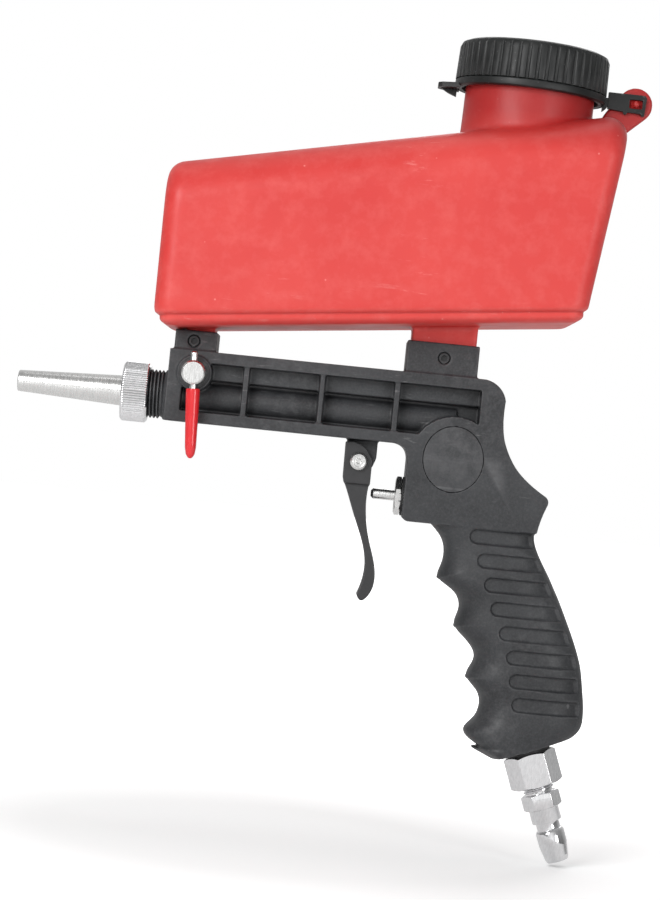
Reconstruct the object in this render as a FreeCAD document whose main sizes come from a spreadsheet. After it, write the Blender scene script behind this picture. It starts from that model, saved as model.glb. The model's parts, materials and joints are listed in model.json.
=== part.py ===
"""A hand-held, gravity-fed abrasive blasting gun with its hopper, nozzle and air plug.

Frame: the origin is where the blast axis meets the front face of the threaded nose.
+X runs along the blast axis towards the back of the gun, +Z points up to the hopper,
and -Y is the side with the feed lever.  Millimetres.
"""
import FreeCAD, Part
import math
import os
import Sketcher
from FreeCAD import Placement, Rotation, Vector

doc = FreeCAD.newDocument("AbrasiveBlastGun")

# ---------------------------------------------------------------- driving dimensions
DIMENSIONS = [
    ("body_half_width", 15.0, "half the width of the barrel box"),
    ("block_half_width", 14.3, "half the width of the two socket blocks"),
    ("box_front", 13.0, "front face of the barrel box"),
    ("box_back", 151.6, "back face of the barrel box"),
    ("box_top", 19.1, "top face of the barrel box"),
    ("box_bottom", -10.4, "bottom face of the barrel box"),
    ("flange_depth", 4.7, "height of the top and bottom flanges"),
    ("front_wall_end", 19.0, "inner end of the solid front of the box"),
    ("window_end", 141.5, "rear end of the side windows"),
    ("web_half_width", 4.0, "half the thickness of the middle web"),
    ("band_half_width", 8.0, "half the thickness of the band under the top flange"),
    ("band_bottom", 7.6, "lower edge of that band"),
    ("tube_radius", 7.5, "outside of the moulded blast tube"),
    ("nose_radius", 10.0, "outside of the M20 x 1.5 nose thread"),
    ("collar_radius", 10.4, "plain collar behind the nose thread"),
    ("collar_length", 1.4, "length of that collar"),
    ("rib_thickness", 2.1, "thickness of the ribs in the side windows"),
    ("rib_inset", 0.5, "ribs behind the side faces"),
    ("disc_x", 132.4, "centre of the side disc along X"),
    ("disc_z", -14.8, "centre of the side disc along Z"),
    ("disc_width", 24.5, "side disc across X"),
    ("disc_height", 26.7, "side disc across Z"),
    ("disc_recess", 1.4, "depth of the disc's seat"),
    ("disc_surround", 17.5, "radius of the moulding around the disc"),
    ("housing_front", 113.8, "front face of the valve housing"),
    ("housing_bottom", -41.8, "bottom of the valve housing"),
    ("front_block_start", 14.5, "front socket block, front face"),
    ("front_block_end", 31.6, "front socket block, rear face"),
    ("front_block_top", 27.3, "front socket block, top face"),
    ("rear_block_start", 109.3, "rear socket block, front face"),
    ("rear_block_end", 138.9, "rear socket block, rear face"),
    ("rear_block_top", 32.1, "rear socket block, top face"),
    ("front_leg_start", 19.4, "front leg of the hopper, front face"),
    ("front_leg_end", 30.2, "front leg of the hopper, rear face"),
    ("rear_leg_start", 110.8, "rear leg of the hopper, front face"),
    ("rear_leg_end", 137.6, "rear leg of the hopper, rear face"),
    ("leg_half_width", 11.0, "half the width of both legs"),
    ("leg_clearance", 0.15, "gap around a leg in its socket"),
    ("front_leg_bottom", 17.4, "bottom of the front leg"),
    ("rear_leg_bottom", 16.2, "bottom of the rear leg"),
    ("feed_seal_height", 1.4, "thickness of the seal under the front leg"),
    ("set_screw_radius", 2.5, "M5 set screws that hold the legs"),
    ("front_screw_x", 22.3, "front set screw along X"),
    ("front_screw_z", 22.9, "front set screw along Z"),
    ("rear_screw_x", 124.7, "rear set screw along X"),
    ("rear_screw_z", 26.0, "rear set screw along Z"),
    ("small_clearance", 0.05, "radial gap of screws and inserts in their holes"),
    ("running_clearance", 0.06, "radial gap of turning and sliding fits"),
    ("wall", 2.4, "hopper wall"),
    ("hopper_half_width", 38.0, "half the width of the hopper"),
    ("hopper_front", 5.7, "hopper front face"),
    ("hopper_front_bottom", 26.8, "height of the front bottom corner"),
    ("hopper_front_top", 93.7, "height of the front top corner"),
    ("hopper_back_bottom_x", 179.1, "rear bottom corner along X"),
    ("hopper_back_bottom_z", 45.2, "rear bottom corner along Z"),
    ("hopper_back_top_x", 190.6, "rear top corner along X"),
    ("hopper_back_top_z", 131.8, "rear top corner along Z"),
    ("shoulder_radius", 18.0, "rounding of the hopper's long top edges"),
    ("bottom_radius", 8.0, "rounding of the hopper's long bottom edges"),
    ("end_radius", 7.5, "rounding around the hopper's front and rear faces"),
    ("neck_radius", 26.7, "outside of the filling neck"),
    ("neck_thread_radius", 28.2, "outside of the neck's thread"),
    ("neck_x", 149.7, "neck axis along X at the strap ring"),
    ("neck_z", 139.2, "height of the middle of the strap ring on the neck axis"),
    ("neck_lean", 1.75, "lean of the neck towards the back, degrees"),
    ("neck_top", 14.6, "top of the neck above the ring"),
    ("ring_half_height", 1.7, "half the height of the strap ring"),
    ("ring_radius", 31.3, "outside of the strap ring"),
    ("cap_radius", 31.0, "outside of the cap's ribbed skirt"),
    ("cap_bore", 28.26, "inside of the cap's skirt"),
    ("cap_collar_radius", 29.3, "part of the cap that turns in the strap ring"),
    ("cap_lip_height", 0.7, "height of the collar's lip that holds the strap ring"),
    ("cap_top", 17.8, "top of the cap above the ring"),
    ("cap_rib_count", 50, "ribs around the cap"),
    ("gasket_height", 1.2, "thickness of the cap's gasket"),
    ("ear_x", 193.3, "centre of the ear along X"),
    ("ear_z", 138.2, "centre of the ear along Z"),
    ("ear_radius", 7.1, "radius of the ear's end"),
    ("ear_half_width", 2.2, "half the thickness of the ear"),
    ("stud_radius", 1.2, "strap stud"),
    ("stud_head_radius", 1.65, "head of the strap stud"),
    ("strap_thickness", 1.8, "thickness of the strap"),
    ("valve_x", 23.8, "feed valve along X"),
    ("valve_z", 9.9, "feed valve along Z"),
    ("valve_radius", 4.9, "feed valve stem"),
    ("valve_boss_radius", 7.2, "boss around the feed valve"),
    ("valve_boss_reach", 16.0, "boss face from the mid-plane"),
    ("valve_reach", 26.0, "end of the valve stem from the mid-plane"),
    ("valve_inner_end", 9.0, "far end of the valve stem"),
    ("feed_radius", 3.2, "abrasive passage"),
    ("lever_reach", 21.4, "lever rod from the mid-plane"),
    ("lever_radius", 1.5, "lever rod"),
    ("lever_top", 8.6, "lever rod above the valve axis"),
    ("lever_lean", 3.2, "how far the lever leans towards the grip, in degrees"),
    ("sleeve_start", -6.6, "top of the sleeve from the valve axis"),
    ("sleeve_end", -34.9, "tip of the sleeve from the valve axis"),
    ("nozzle_reach", 49.0, "nozzle tip in front of the nose"),
    ("nozzle_tip_radius", 4.35, "nozzle at its tip"),
    ("nozzle_root_radius", 6.35, "nozzle at its flange"),
    ("nozzle_flange_radius", 8.9, "nozzle flange"),
    ("nozzle_flange", 3.7, "thickness of the nozzle flange"),
    ("nozzle_spigot_radius", 5.05, "nozzle spigot"),
    ("nozzle_spigot", 10.3, "length of the nozzle spigot"),
    ("nozzle_bore", 3.0, "radius of the nozzle bore"),
    ("nut_radius", 12.25, "nozzle nut"),
    ("nut_opening", 8.5, "opening of the nozzle nut"),
    ("nut_lip", 2.0, "thickness of the nut's front lip"),
    ("nut_length", 11.0, "length of the nozzle nut"),
    ("jet_start", 30.0, "tip of the air jet"),
    ("jet_end", 112.0, "rear end of the air jet"),
    ("jet_radius", 3.4, "outside of the air jet"),
    ("jet_bore", 1.75, "bore of the air jet"),
    ("pivot_x", 94.2, "trigger pivot along X"),
    ("pivot_z", -19.3, "trigger pivot along Z"),
    ("pivot_radius", 2.0, "shank of the pivot bolt"),
    ("pivot_head_radius", 3.6, "head of the pivot bolt"),
    ("lug_half_width", 5.8, "half the thickness of the trigger lug"),
    ("trigger_half_width", 9.0, "half the width over the trigger's cheeks"),
    ("lever_half_width", 7.0, "half the width of the trigger's lever"),
    ("trigger_gap", 0.12, "side gap between lug and cheeks"),
    ("pin_z", -31.9, "valve pin along Z"),
    ("pin_tip", 100.5, "tip of the valve pin"),
    ("pin_radius", 2.2, "valve pin"),
    ("gland_hex", 14.0, "gland nut across flats"),
    ("gland_front", 110.3, "front face of the gland nut"),
    ("gland_head_end", 113.1, "rear face of the gland nut's hexagon"),
    ("gland_end", 124.0, "rear end of the gland nut"),
    ("chamber_radius", 6.0, "bore of the valve chamber"),
    ("seat_start", 130.0, "front of the valve seat"),
    ("seat_end", 133.0, "rear of the valve seat"),
    ("seat_bore", 3.3, "hole of the valve seat"),
    ("poppet_end", 137.0, "rear of the poppet"),
    ("chamber_end", 149.5, "blind end of the valve chamber"),
    ("spring_radius", 4.0, "mean radius of the valve spring"),
    ("spring_wire", 0.5, "wire radius of the valve spring"),
    ("spring_pitch", 2.2, "pitch of the valve spring"),
    ("inlet_x", 176.1, "centre of the fitting's upper face along X"),
    ("inlet_z", -132.2, "centre of the fitting's upper face along Z"),
    ("inlet_tilt", 20.7, "lean of the inlet axis, degrees"),
    ("inlet_hex", 19.0, "inlet fitting across flats"),
    ("inlet_length", 14.0, "length of the fitting's hexagon"),
    ("inlet_shank_radius", 6.55, "shank of the fitting in the grip"),
    ("inlet_shank", 16.0, "length of that shank"),
    ("inlet_washer", 1.8, "thickness of the inlet washer"),
    ("inlet_bore", 4.0, "air passage in the grip"),
    ("plug_thread_radius", 6.5, "thread of the air plug"),
    ("plug_hex", 14.0, "air plug across flats"),
    ("plug_bore", 3.75, "bore of the air plug"),
    ("groove_depth", 1.3, "depth of the grip's side grooves"),
    ("groove_height", 5.9, "height of a side groove"),
    ("groove_pitch", 9.54, "pitch of the side grooves"),
    ("spine_half_width", 9.8, "half the width of the smooth back of the grip"),
]


def make_sheet():
    """Write the driving dimensions into a spreadsheet, one named cell each."""
    table = doc.addObject("Spreadsheet::Sheet", "Sizes")
    for row, (alias, value, meaning) in enumerate(DIMENSIONS, start=1):
        table.set("A%d" % row, meaning)
        table.set("B%d" % row, str(value))
        table.setAlias("B%d" % row, alias)
    doc.recompute()
    return table


sheet = make_sheet()


class Size:
    """A number together with the spreadsheet expression that it comes from."""

    def __init__(self, value, text):
        self.value = value
        self.text = text

    def __add__(self, other):
        return Size(self.value + number(other), "(%s + %s)" % (self.text, words(other)))

    def __radd__(self, other):
        return self + other

    def __sub__(self, other):
        return Size(self.value - number(other), "(%s - %s)" % (self.text, words(other)))

    def __rsub__(self, other):
        return -self + other

    def __mul__(self, factor):
        return Size(self.value * number(factor), "(%s * %s)" % (self.text, words(factor)))

    def __rmul__(self, factor):
        return self * factor

    def __truediv__(self, divisor):
        return Size(self.value / number(divisor), "(%s / %s)" % (self.text, words(divisor)))

    def __neg__(self):
        return Size(-self.value, "(0 - %s)" % self.text)


def number(value):
    """The plain number in a Size or a number."""
    return value.value if isinstance(value, Size) else float(value)


def words(value):
    """The expression text of a Size or a number."""
    return value.text if isinstance(value, Size) else repr(float(value))


def size(alias):
    """The Size that stands for one cell of the sheet."""
    return Size(float(sheet.get(alias)), "Sizes." + alias)


class Cells:
    """Reads a cell of the sheet as an attribute: cells.wall."""

    def __getattr__(self, alias):
        return size(alias)


cells = Cells()


def bind(thing, name, value):
    """Set a property and tie it to the sheet when the value comes from there."""
    if isinstance(value, Size):
        thing.setExpression(name, value.text)
    else:
        setattr(thing, name, value)


# ---------------------------------------------------------------- directions
UPRIGHT = Rotation()
TOWARDS_LEVER = Rotation(Vector(0, 0, 1), -90)
ALONG_NECK = Rotation(Vector(0, 1, 0), number(cells.neck_lean) - 90)
ALONG_INLET = Rotation(Vector(0, 1, 0), 90 - number(cells.inlet_tilt))


def place(thing, x=0.0, y=0.0, z=0.0, turn=UPRIGHT):
    """Put an object at a point, with each coordinate tied to the sheet."""
    thing.Placement = Placement(Vector(number(x), number(y), number(z)), turn)
    for axis, value in (("x", x), ("y", y), ("z", z)):
        if isinstance(value, Size):
            thing.setExpression("Placement.Base." + axis, value.text)
    return thing


# ---------------------------------------------------------------- sketch helpers
def new_body(label):
    """An empty PartDesign body."""
    body = doc.addObject("PartDesign::Body", label)
    body.Label = label
    return body


def new_sketch(body, role, name, offset=0.0):
    """A sketch on one of the body's own origin planes, moved along its normal."""
    sketch = body.newObject("Sketcher::SketchObject", body.Name + "_" + name)
    plane = [item for item in body.Origin.OriginFeatures if item.Role == role][0]
    sketch.AttachmentSupport = (plane, "")
    sketch.MapMode = "FlatFace"
    sketch.AttachmentOffset = Placement(Vector(0, 0, number(offset)), UPRIGHT)
    if isinstance(offset, Size):
        sketch.setExpression("AttachmentOffset.Base.z", offset.text)
    return sketch


def pin_point(sketch, geometry, end, point):
    """Fix one point of the sketch from the sketch's origin."""
    for kind, value in zip(("DistanceX", "DistanceY"), point):
        rule = Sketcher.Constraint(kind, -1, 1, geometry, end, number(value))
        index = sketch.addConstraint(rule)
        if isinstance(value, Size):
            sketch.setExpression("Constraints[%d]" % index, value.text)


def draw_polygon(sketch, points):
    """A closed outline of straight lines through the points."""
    corners = [Vector(number(across), number(up), 0) for across, up in points]
    count = len(corners)
    for index in range(count):
        sketch.addGeometry(Part.LineSegment(corners[index], corners[(index + 1) % count]))
    for index in range(count):
        sketch.addConstraint(Sketcher.Constraint("Coincident", index, 2, (index + 1) % count, 1))
        pin_point(sketch, index, 1, points[index])


def draw_circle(sketch, centre, radius):
    """A circle whose centre and radius are tied to the sheet."""
    middle = Vector(number(centre[0]), number(centre[1]), 0)
    index = sketch.addGeometry(Part.Circle(middle, Vector(0, 0, 1), number(radius)))
    pin_point(sketch, index, 3, centre)
    rule = sketch.addConstraint(Sketcher.Constraint("Radius", index, number(radius)))
    if isinstance(radius, Size):
        sketch.setExpression("Constraints[%d]" % rule, radius.text)


def draw_curves(sketch, stretches):
    """A closed outline of smooth curves, each through its own few points."""
    for points in stretches:
        places = [Vector(number(across), number(up), 0) for across, up in points]
        if len(places) == 2:
            sketch.addGeometry(Part.LineSegment(*places))
        else:
            curve = Part.BSplineCurve()
            curve.interpolate(places)
            sketch.addGeometry(curve)


def hexagon(across_flats, turn=0.0):
    """The six corners of a hexagon; at turn 0 two flats face along the sketch's X."""
    radius = across_flats / (2 * math.cos(math.radians(30)))
    angles = [math.radians(30 + 60 * step + turn) for step in range(6)]
    return [(radius * math.cos(angle), radius * math.sin(angle)) for angle in angles]


def pad(body, sketch, name, length, midplane=False):
    """Pad a sketch along its normal."""
    feature = body.newObject("PartDesign::Pad", body.Name + "_" + name)
    feature.Profile = sketch
    feature.Midplane = midplane
    bind(feature, "Length", length)
    doc.recompute()
    return feature


def pocket_through(body, sketch, name):
    """Cut a sketch right through the body, both ways."""
    before = body.Shape.Volume
    feature = body.newObject("PartDesign::Pocket", body.Name + "_" + name)
    feature.Profile = sketch
    feature.Type = 1
    feature.Midplane = True
    doc.recompute()
    if body.Shape.Volume >= before:
        raise RuntimeError("%s cut nothing" % feature.Name)
    return feature


def revolve(body, name, profile, cut=False):
    """Turn a profile of (axial, radial) points about the body's own X axis."""
    sketch = new_sketch(body, "XZ_Plane", name + "_profile")
    draw_polygon(sketch, profile)
    kind = "PartDesign::Groove" if cut else "PartDesign::Revolution"
    feature = body.newObject(kind, body.Name + "_" + name)
    feature.Profile = sketch
    feature.ReferenceAxis = (sketch, ["H_Axis"])
    feature.Angle = 360
    doc.recompute()
    return feature


def turned(label, profile):
    """A part made by turning one profile about its X axis."""
    body = new_body(label)
    revolve(body, "form", profile)
    return body


def add_hexagon(body, name, across_flats, start, length, turn=0.0):
    """Add a hexagon along the body's X axis and take its outer corners off."""
    sketch = new_sketch(body, "YZ_Plane", name + "_outline", start)
    draw_polygon(sketch, hexagon(across_flats, turn))
    pad(body, sketch, name, length)
    flat = across_flats / 2
    corner = across_flats * 0.6
    for place_name, face, inward in (("near", start, 1), ("far", start + length, -1)):
        edge = [
            (face, flat * 0.97),
            (face, corner),
            (face + inward * (corner - flat * 0.97) * 0.45, corner),
        ]
        revolve(body, name + "_" + place_name, edge, cut=True)


# ---------------------------------------------------------------- solids from primitives
def make_box(label, x_range, y_range, z_range):
    """A box between two corners."""
    solid = doc.addObject("Part::Box", label)
    bind(solid, "Length", x_range[1] - x_range[0])
    bind(solid, "Width", y_range[1] - y_range[0])
    bind(solid, "Height", z_range[1] - z_range[0])
    return place(solid, x_range[0], y_range[0], z_range[0])


ALONG_X = Rotation(Vector(0, 1, 0), 90)
ALONG_Y = Rotation(Vector(1, 0, 0), -90)
ALONG_Z = UPRIGHT


def make_cylinder(label, start, turn, radius, length):
    """A cylinder from a start point along one of the rotations above."""
    solid = doc.addObject("Part::Cylinder", label)
    bind(solid, "Radius", radius)
    bind(solid, "Height", length)
    return place(solid, start[0], start[1], start[2], turn)


def join(label, solids):
    """Fuse several solids."""
    result = doc.addObject("Part::MultiFuse", label)
    result.Shapes = solids
    result.Refine = False
    doc.recompute()
    return result


def cut(label, base, tools):
    """Take several solids away from one, each in a cut of its own."""
    doc.recompute()
    result = base
    for step, tool in enumerate(tools, start=1):
        before = result.Shape.Volume
        name = label if step == len(tools) else "%s_step_%d" % (label, step)
        cutting = doc.addObject("Part::Cut", name)
        cutting.Base = result
        cutting.Tool = tool
        cutting.Refine = False
        doc.recompute()
        result = cutting
        if result.Shape.Volume >= before:
            raise RuntimeError("%s cut nothing with %s" % (label, tool.Label))
    return result


def keep_shape(label, shape):
    """A feature that holds a shape made with Part's own functions."""
    feature = doc.addObject("Part::Feature", label)
    feature.Shape = shape
    return feature


# ---------------------------------------------------------------- gun body
# Height, front edge, back edge, half width and squareness of the grip's cross-sections,
# from inside the rear plate down past the bottom of the grip.
GRIP_SECTIONS = [
    (-30.0, 124.0, 171.6, 14.5, 5.0),
    (-36.0, 124.5, 170.2, 14.7, 4.6),
    (-41.5, 126.0, 169.2, 14.9, 4.2),
    (-46.0, 130.3, 169.8, 15.0, 3.7),
    (-53.5, 132.9, 173.6, 15.5, 3.2),
    (-59.0, 132.0, 177.0, 15.9, 2.9),
    (-63.3, 131.3, 179.4, 16.2, 2.8),
    (-68.0, 137.4, 182.0, 16.6, 2.6),
    (-76.5, 141.1, 186.2, 16.9, 2.6),
    (-82.0, 140.0, 188.8, 17.0, 2.6),
    (-88.0, 145.2, 191.4, 17.0, 2.6),
    (-96.0, 149.4, 194.1, 16.9, 2.6),
    (-102.9, 147.1, 195.4, 16.7, 2.6),
    (-108.3, 151.6, 196.3, 16.5, 2.6),
    (-115.0, 153.5, 196.9, 16.4, 2.6),
    (-119.8, 151.8, 196.3, 16.4, 2.6),
    (-124.2, 148.3, 192.8, 16.3, 2.6),
    (-128.2, 150.2, 187.6, 16.0, 2.6),
    (-132.2, 156.3, 182.0, 15.6, 2.6),
    (-138.0, 166.0, 176.0, 15.0, 2.6),
]
# Front face of each upright rib in the side windows.
RIB_STARTS = [44.0, 75.2, 106.0]
# Left end of each side groove, from the top one down.
GROOVE_STARTS = [142.3, 146.3, 150.0, 153.6, 158.0, 161.9, 164.0, 166.0]
GROOVE_TOP = -42.2
SECTION_POINTS = 20


def grip_section(height, front, back, half_width, squareness, inset):
    """A closed, rounded cross-section of the grip at one height."""
    middle = (front + back) / 2
    half_length = (back - front) / 2 - inset
    points = []
    for step in range(SECTION_POINTS):
        angle = 2 * math.pi * step / SECTION_POINTS
        across = abs(math.cos(angle)) ** (2 / squareness) * math.copysign(1, math.cos(angle))
        deep = abs(math.sin(angle)) ** (2 / squareness) * math.copysign(1, math.sin(angle))
        points.append(Vector(middle + half_length * across, (half_width - inset) * deep, height))
    curve = Part.BSplineCurve()
    curve.interpolate(points, PeriodicFlag=True)
    return Part.Wire(curve.toShape())


def grip_form(label, inset=0.0):
    """The grip as one smooth loft through its cross-sections."""
    wires = [grip_section(*section, inset) for section in GRIP_SECTIONS]
    return keep_shape(label, Part.makeLoft(wires, True, False))


def groove_slot(start, middle):
    """A slot right through the grip, round at its front end and open at the back."""
    half_height = number(cells.groove_height) / 2
    side = -2 * number(cells.body_half_width)
    turn = start + half_height
    back = number(cells.inlet_x) * 1.2
    upper = Vector(turn, side, middle + half_height)
    lower = Vector(turn, side, middle - half_height)
    far_lower = Vector(back, side, middle - half_height)
    far_upper = Vector(back, side, middle + half_height)
    outline = Part.Wire([
        Part.Arc(upper, Vector(start, side, middle), lower).toShape(),
        Part.makeLine(lower, far_lower),
        Part.makeLine(far_lower, far_upper),
        Part.makeLine(far_upper, upper),
    ])
    return Part.Face(outline).extrude(Vector(0, -2 * side, 0))


def grip_grooves():
    """The side grooves of the grip: slots that stop at an inner copy of its form and at its spine."""
    core = grip_form("grip_core", number(cells.groove_depth))
    spine = make_box("grip_spine", (cells.housing_front, cells.inlet_x * 1.2),
                     (-cells.spine_half_width, cells.spine_half_width),
                     (cells.inlet_z, cells.housing_bottom + 5))
    grooves = []
    for row, start in enumerate(GROOVE_STARTS):
        middle = GROOVE_TOP - number(cells.groove_pitch) * row - number(cells.groove_height) / 2
        slot = keep_shape("groove_slot_%d" % row, groove_slot(start, middle))
        grooves.append(cut("groove_%d" % row, slot, [core, spine]))
    return grooves


def barrel_solids():
    """The ribbed barrel box, the socket blocks, the nose and the valve housing."""
    side = (-cells.body_half_width, cells.body_half_width)
    block_side = (-cells.block_half_width, cells.block_half_width)
    heights = (cells.box_bottom, cells.box_top)
    solids = [
        make_box("web", (cells.box_front, cells.window_end),
                 (-cells.web_half_width, cells.web_half_width), heights),
        make_box("top_flange", (cells.box_front, cells.window_end), side,
                 (cells.box_top - cells.flange_depth, cells.box_top)),
        make_box("bottom_flange", (cells.box_front, cells.disc_x), side,
                 (cells.box_bottom, cells.box_bottom + cells.flange_depth)),
        make_box("front_wall", (cells.box_front, cells.front_wall_end), side, heights),
        make_box("band", (cells.box_front, cells.window_end), (-cells.band_half_width, cells.band_half_width),
                 (cells.band_bottom, cells.box_top)),
        make_box("front_block", (cells.front_block_start, cells.front_block_end), block_side,
                 (cells.box_top - cells.flange_depth, cells.front_block_top)),
        make_box("rear_block", (cells.rear_block_start, cells.rear_block_end), block_side,
                 (cells.box_top - cells.flange_depth, cells.rear_block_top)),
        make_cylinder("blast_tube", (cells.box_front, 0, 0), ALONG_X, cells.tube_radius,
                      cells.disc_x - cells.box_front),
        make_cylinder("disc_moulding", (cells.disc_x, -cells.body_half_width, cells.disc_z), ALONG_Y,
                      cells.disc_surround, cells.body_half_width * 2),
        make_cylinder("valve_boss", (cells.valve_x, -cells.valve_boss_reach, cells.valve_z), ALONG_Y,
                      cells.valve_boss_radius, cells.valve_boss_reach * 2),
        make_cylinder("nose", (0, 0, 0), ALONG_X, cells.nose_radius, cells.box_front),
        make_cylinder("nose_collar", (cells.box_front - cells.collar_length, 0, 0), ALONG_X,
                      cells.collar_radius, cells.collar_length),
    ]
    rib_reach = cells.body_half_width - cells.rib_inset
    for index, start in enumerate(RIB_STARTS):
        solids.append(make_box("rib_%d" % index, (start, start + cells.rib_thickness),
                               (-rib_reach, rib_reach), heights))
    return solids


def rear_plate():
    """The flat-sided back of the body: rear wall, valve housing and beavertail."""
    body = new_body("rear_plate")
    sketch = new_sketch(body, "XZ_Plane", "outline")
    front = cells.housing_front
    low = cells.housing_bottom
    high = cells.box_top
    back = cells.box_back
    inner = cells.box_bottom + cells.flange_depth
    draw_curves(sketch, [
        [(front, cells.box_bottom - 6.0), (front, low + 2.5)],
        [(front, low + 2.5), (front + 0.8, low + 0.8), (front + 2.5, low)],
        [(front + 2.5, low), (back + 17.8, low)],
        [(back + 17.8, low), (back + 19.0, low + 5.9), (back + 20.8, low + 11.3)],
        [(back + 20.8, low + 11.3), (back + 21.3, low + 13.5), (back + 20.3, low + 15.3)],
        [(back + 20.3, low + 15.3), (back + 11.4, cells.disc_z - 5.7), (back + 6.5, cells.disc_z - 0.8),
         (back + 3.3, cells.disc_z + 4.3), (back + 1.1, cells.disc_z + 9.5), (back, cells.disc_z + 15.0),
         (back - 0.1, high - 8.1)],
        [(back - 0.1, high - 8.1), (back - 1.6, high - 4.5), (back - 4.6, high - 1.6), (back - 9.0, high)],
        [(back - 9.0, high), (cells.window_end, high)],
        [(cells.window_end, high), (cells.window_end, inner)],
        [(cells.window_end, inner), (front - 5.8, inner)],
        [(front - 5.8, inner), (front - 5.8, cells.box_bottom)],
        [(front - 5.8, cells.box_bottom), (front - 1.7, cells.box_bottom - 1.7),
         (front, cells.box_bottom - 6.0)],
    ])
    pad(body, sketch, "form", cells.body_half_width * 2, midplane=True)
    return body


def lug():
    """The lug under the barrel that carries the trigger pivot."""
    body = new_body("trigger_lug")
    sketch = new_sketch(body, "XZ_Plane", "outline")
    draw_polygon(sketch, [
        (cells.pivot_x - 5.6, cells.box_bottom + 1),
        (cells.pivot_x - 5.6, cells.pivot_z - 1),
        (cells.pivot_x - 3.4, cells.pivot_z - 4.6),
        (cells.pivot_x + 2.6, cells.pivot_z - 5.0),
        (cells.pivot_x + 5.8, cells.pivot_z - 1.8),
        (cells.pivot_x + 7.1, cells.pivot_z + 1.8),
        (cells.pivot_x + 7.1, cells.box_bottom + 1),
    ])
    pad(body, sketch, "form", cells.lug_half_width * 2, midplane=True)
    return body


def body_passages():
    """Everything that is bored or moulded out of the gun body."""
    gap = cells.small_clearance
    room = cells.leg_clearance
    pivot_hole = (cells.pivot_x, -cells.body_half_width, cells.pivot_z)
    front_leg_x = (cells.front_leg_start - room, cells.front_leg_end + room)
    rear_leg_x = (cells.rear_leg_start - room, cells.rear_leg_end + room)
    leg_y = (-cells.leg_half_width - room, cells.leg_half_width + room)
    screw_start = -cells.body_half_width - 1
    spigot = cells.nozzle_spigot + 0.5
    solids = [
        make_cylinder("spigot_bore", (-1, 0, 0), ALONG_X, cells.nozzle_spigot_radius + 0.08, spigot + 1),
        make_cylinder("mixing_bore", (0, 0, 0), ALONG_X, cells.nozzle_bore * 1.4, cells.jet_start + 1),
        make_cylinder("jet_hole", (cells.jet_start, 0, 0), ALONG_X, cells.jet_radius + gap,
                      cells.jet_end - cells.jet_start),
        make_cylinder("air_gallery", (cells.jet_end - 1, 0, 0), ALONG_X, cells.jet_bore, 16),
        make_cylinder("air_riser", (cells.seat_start - 2.5, 0, cells.pin_z), ALONG_Z,
                      cells.jet_bore, -cells.pin_z),
        make_cylinder("valve_chamber", (cells.housing_front - 1, 0, cells.pin_z), ALONG_X,
                      cells.chamber_radius, cells.chamber_end - cells.housing_front + 1),
        make_cylinder("feed_hole", (cells.valve_x, 0, 0), ALONG_Z, cells.feed_radius, cells.box_top),
        make_cylinder("valve_hole", (cells.valve_x, -cells.valve_boss_reach - 1, cells.valve_z), ALONG_Y,
                      cells.valve_radius + cells.running_clearance,
                      cells.valve_boss_reach + cells.valve_inner_end + 1.2),
        make_box("front_socket", front_leg_x, leg_y,
                 (cells.front_leg_bottom - cells.feed_seal_height, cells.front_block_top + 1)),
        make_box("rear_socket", rear_leg_x, leg_y, (cells.rear_leg_bottom - 0.05, cells.rear_block_top + 1)),
        make_cylinder("front_screw_hole", (cells.front_screw_x, screw_start, cells.front_screw_z),
                      ALONG_Y, cells.set_screw_radius + gap, cells.body_half_width),
        make_cylinder("rear_screw_hole", (cells.rear_screw_x, screw_start, cells.rear_screw_z),
                      ALONG_Y, cells.set_screw_radius + gap, cells.body_half_width),
        make_cylinder("pivot_hole", pivot_hole, ALONG_Y, cells.pivot_radius + gap, cells.body_half_width * 2),
    ]
    return solids


def inlet_holes():
    """The fitting's socket and the air passage that climbs the grip to the valve chamber."""
    up = Rotation(Vector(0, 1, 0), -number(cells.inlet_tilt))
    reach = (number(cells.pin_z) - number(cells.inlet_z)) / math.cos(math.radians(number(cells.inlet_tilt)))
    start = (cells.inlet_x, 0, cells.inlet_z)
    socket = make_cylinder("inlet_socket", start, up, cells.inlet_shank_radius + cells.small_clearance,
                           cells.inlet_washer + cells.inlet_shank + 0.5)
    passage = make_cylinder("grip_passage", start, up, cells.inlet_bore, reach)
    return [socket, passage]


def grip_base():
    """The block of space below the grip: its top face is the grip's slanting bottom face."""
    tilt = number(cells.inlet_tilt)
    block = doc.addObject("Part::Box", "grip_base")
    block.Length = 80
    block.Width = 60
    block.Height = 30
    turn = Rotation(Vector(0, 1, 0), -tilt)
    lower = number(cells.inlet_washer)
    top = Vector(number(cells.inlet_x), 0, number(cells.inlet_z)) - turn.multVec(Vector(0, 0, -lower))
    block.Placement = Placement(top - turn.multVec(Vector(40, 30, 30)), turn)
    return block


def disc_shape(label, reach, height, inset=0.0):
    """An oval plate that starts at reach from the mid-plane and grows towards -Y."""
    body = new_body(label)
    sketch = new_sketch(body, "XZ_Plane", "outline", reach)
    centre = Vector(number(cells.disc_x), number(cells.disc_z), 0)
    long_end = centre + Vector(0, number(cells.disc_height) / 2 - number(inset), 0)
    short_end = centre + Vector(number(cells.disc_width) / 2 - number(inset), 0, 0)
    sketch.addGeometry(Part.Ellipse(long_end, short_end, centre))
    pad(body, sketch, "form", height)
    return body


def gun_body():
    """The moulded body: barrel box, valve housing and grip in one piece."""
    form = join("body_form", [join("barrel", barrel_solids()), rear_plate(), lug(), grip_form("grip_form")])
    seats = [
        disc_shape("disc_seat_lever_side", cells.body_half_width - cells.disc_recess, 10),
        disc_shape("disc_seat_far_side", -cells.body_half_width - 10 + cells.disc_recess, 10),
    ]
    return cut("gun_body", form, grip_grooves() + body_passages() + inlet_holes() + seats + [grip_base()])


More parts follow.
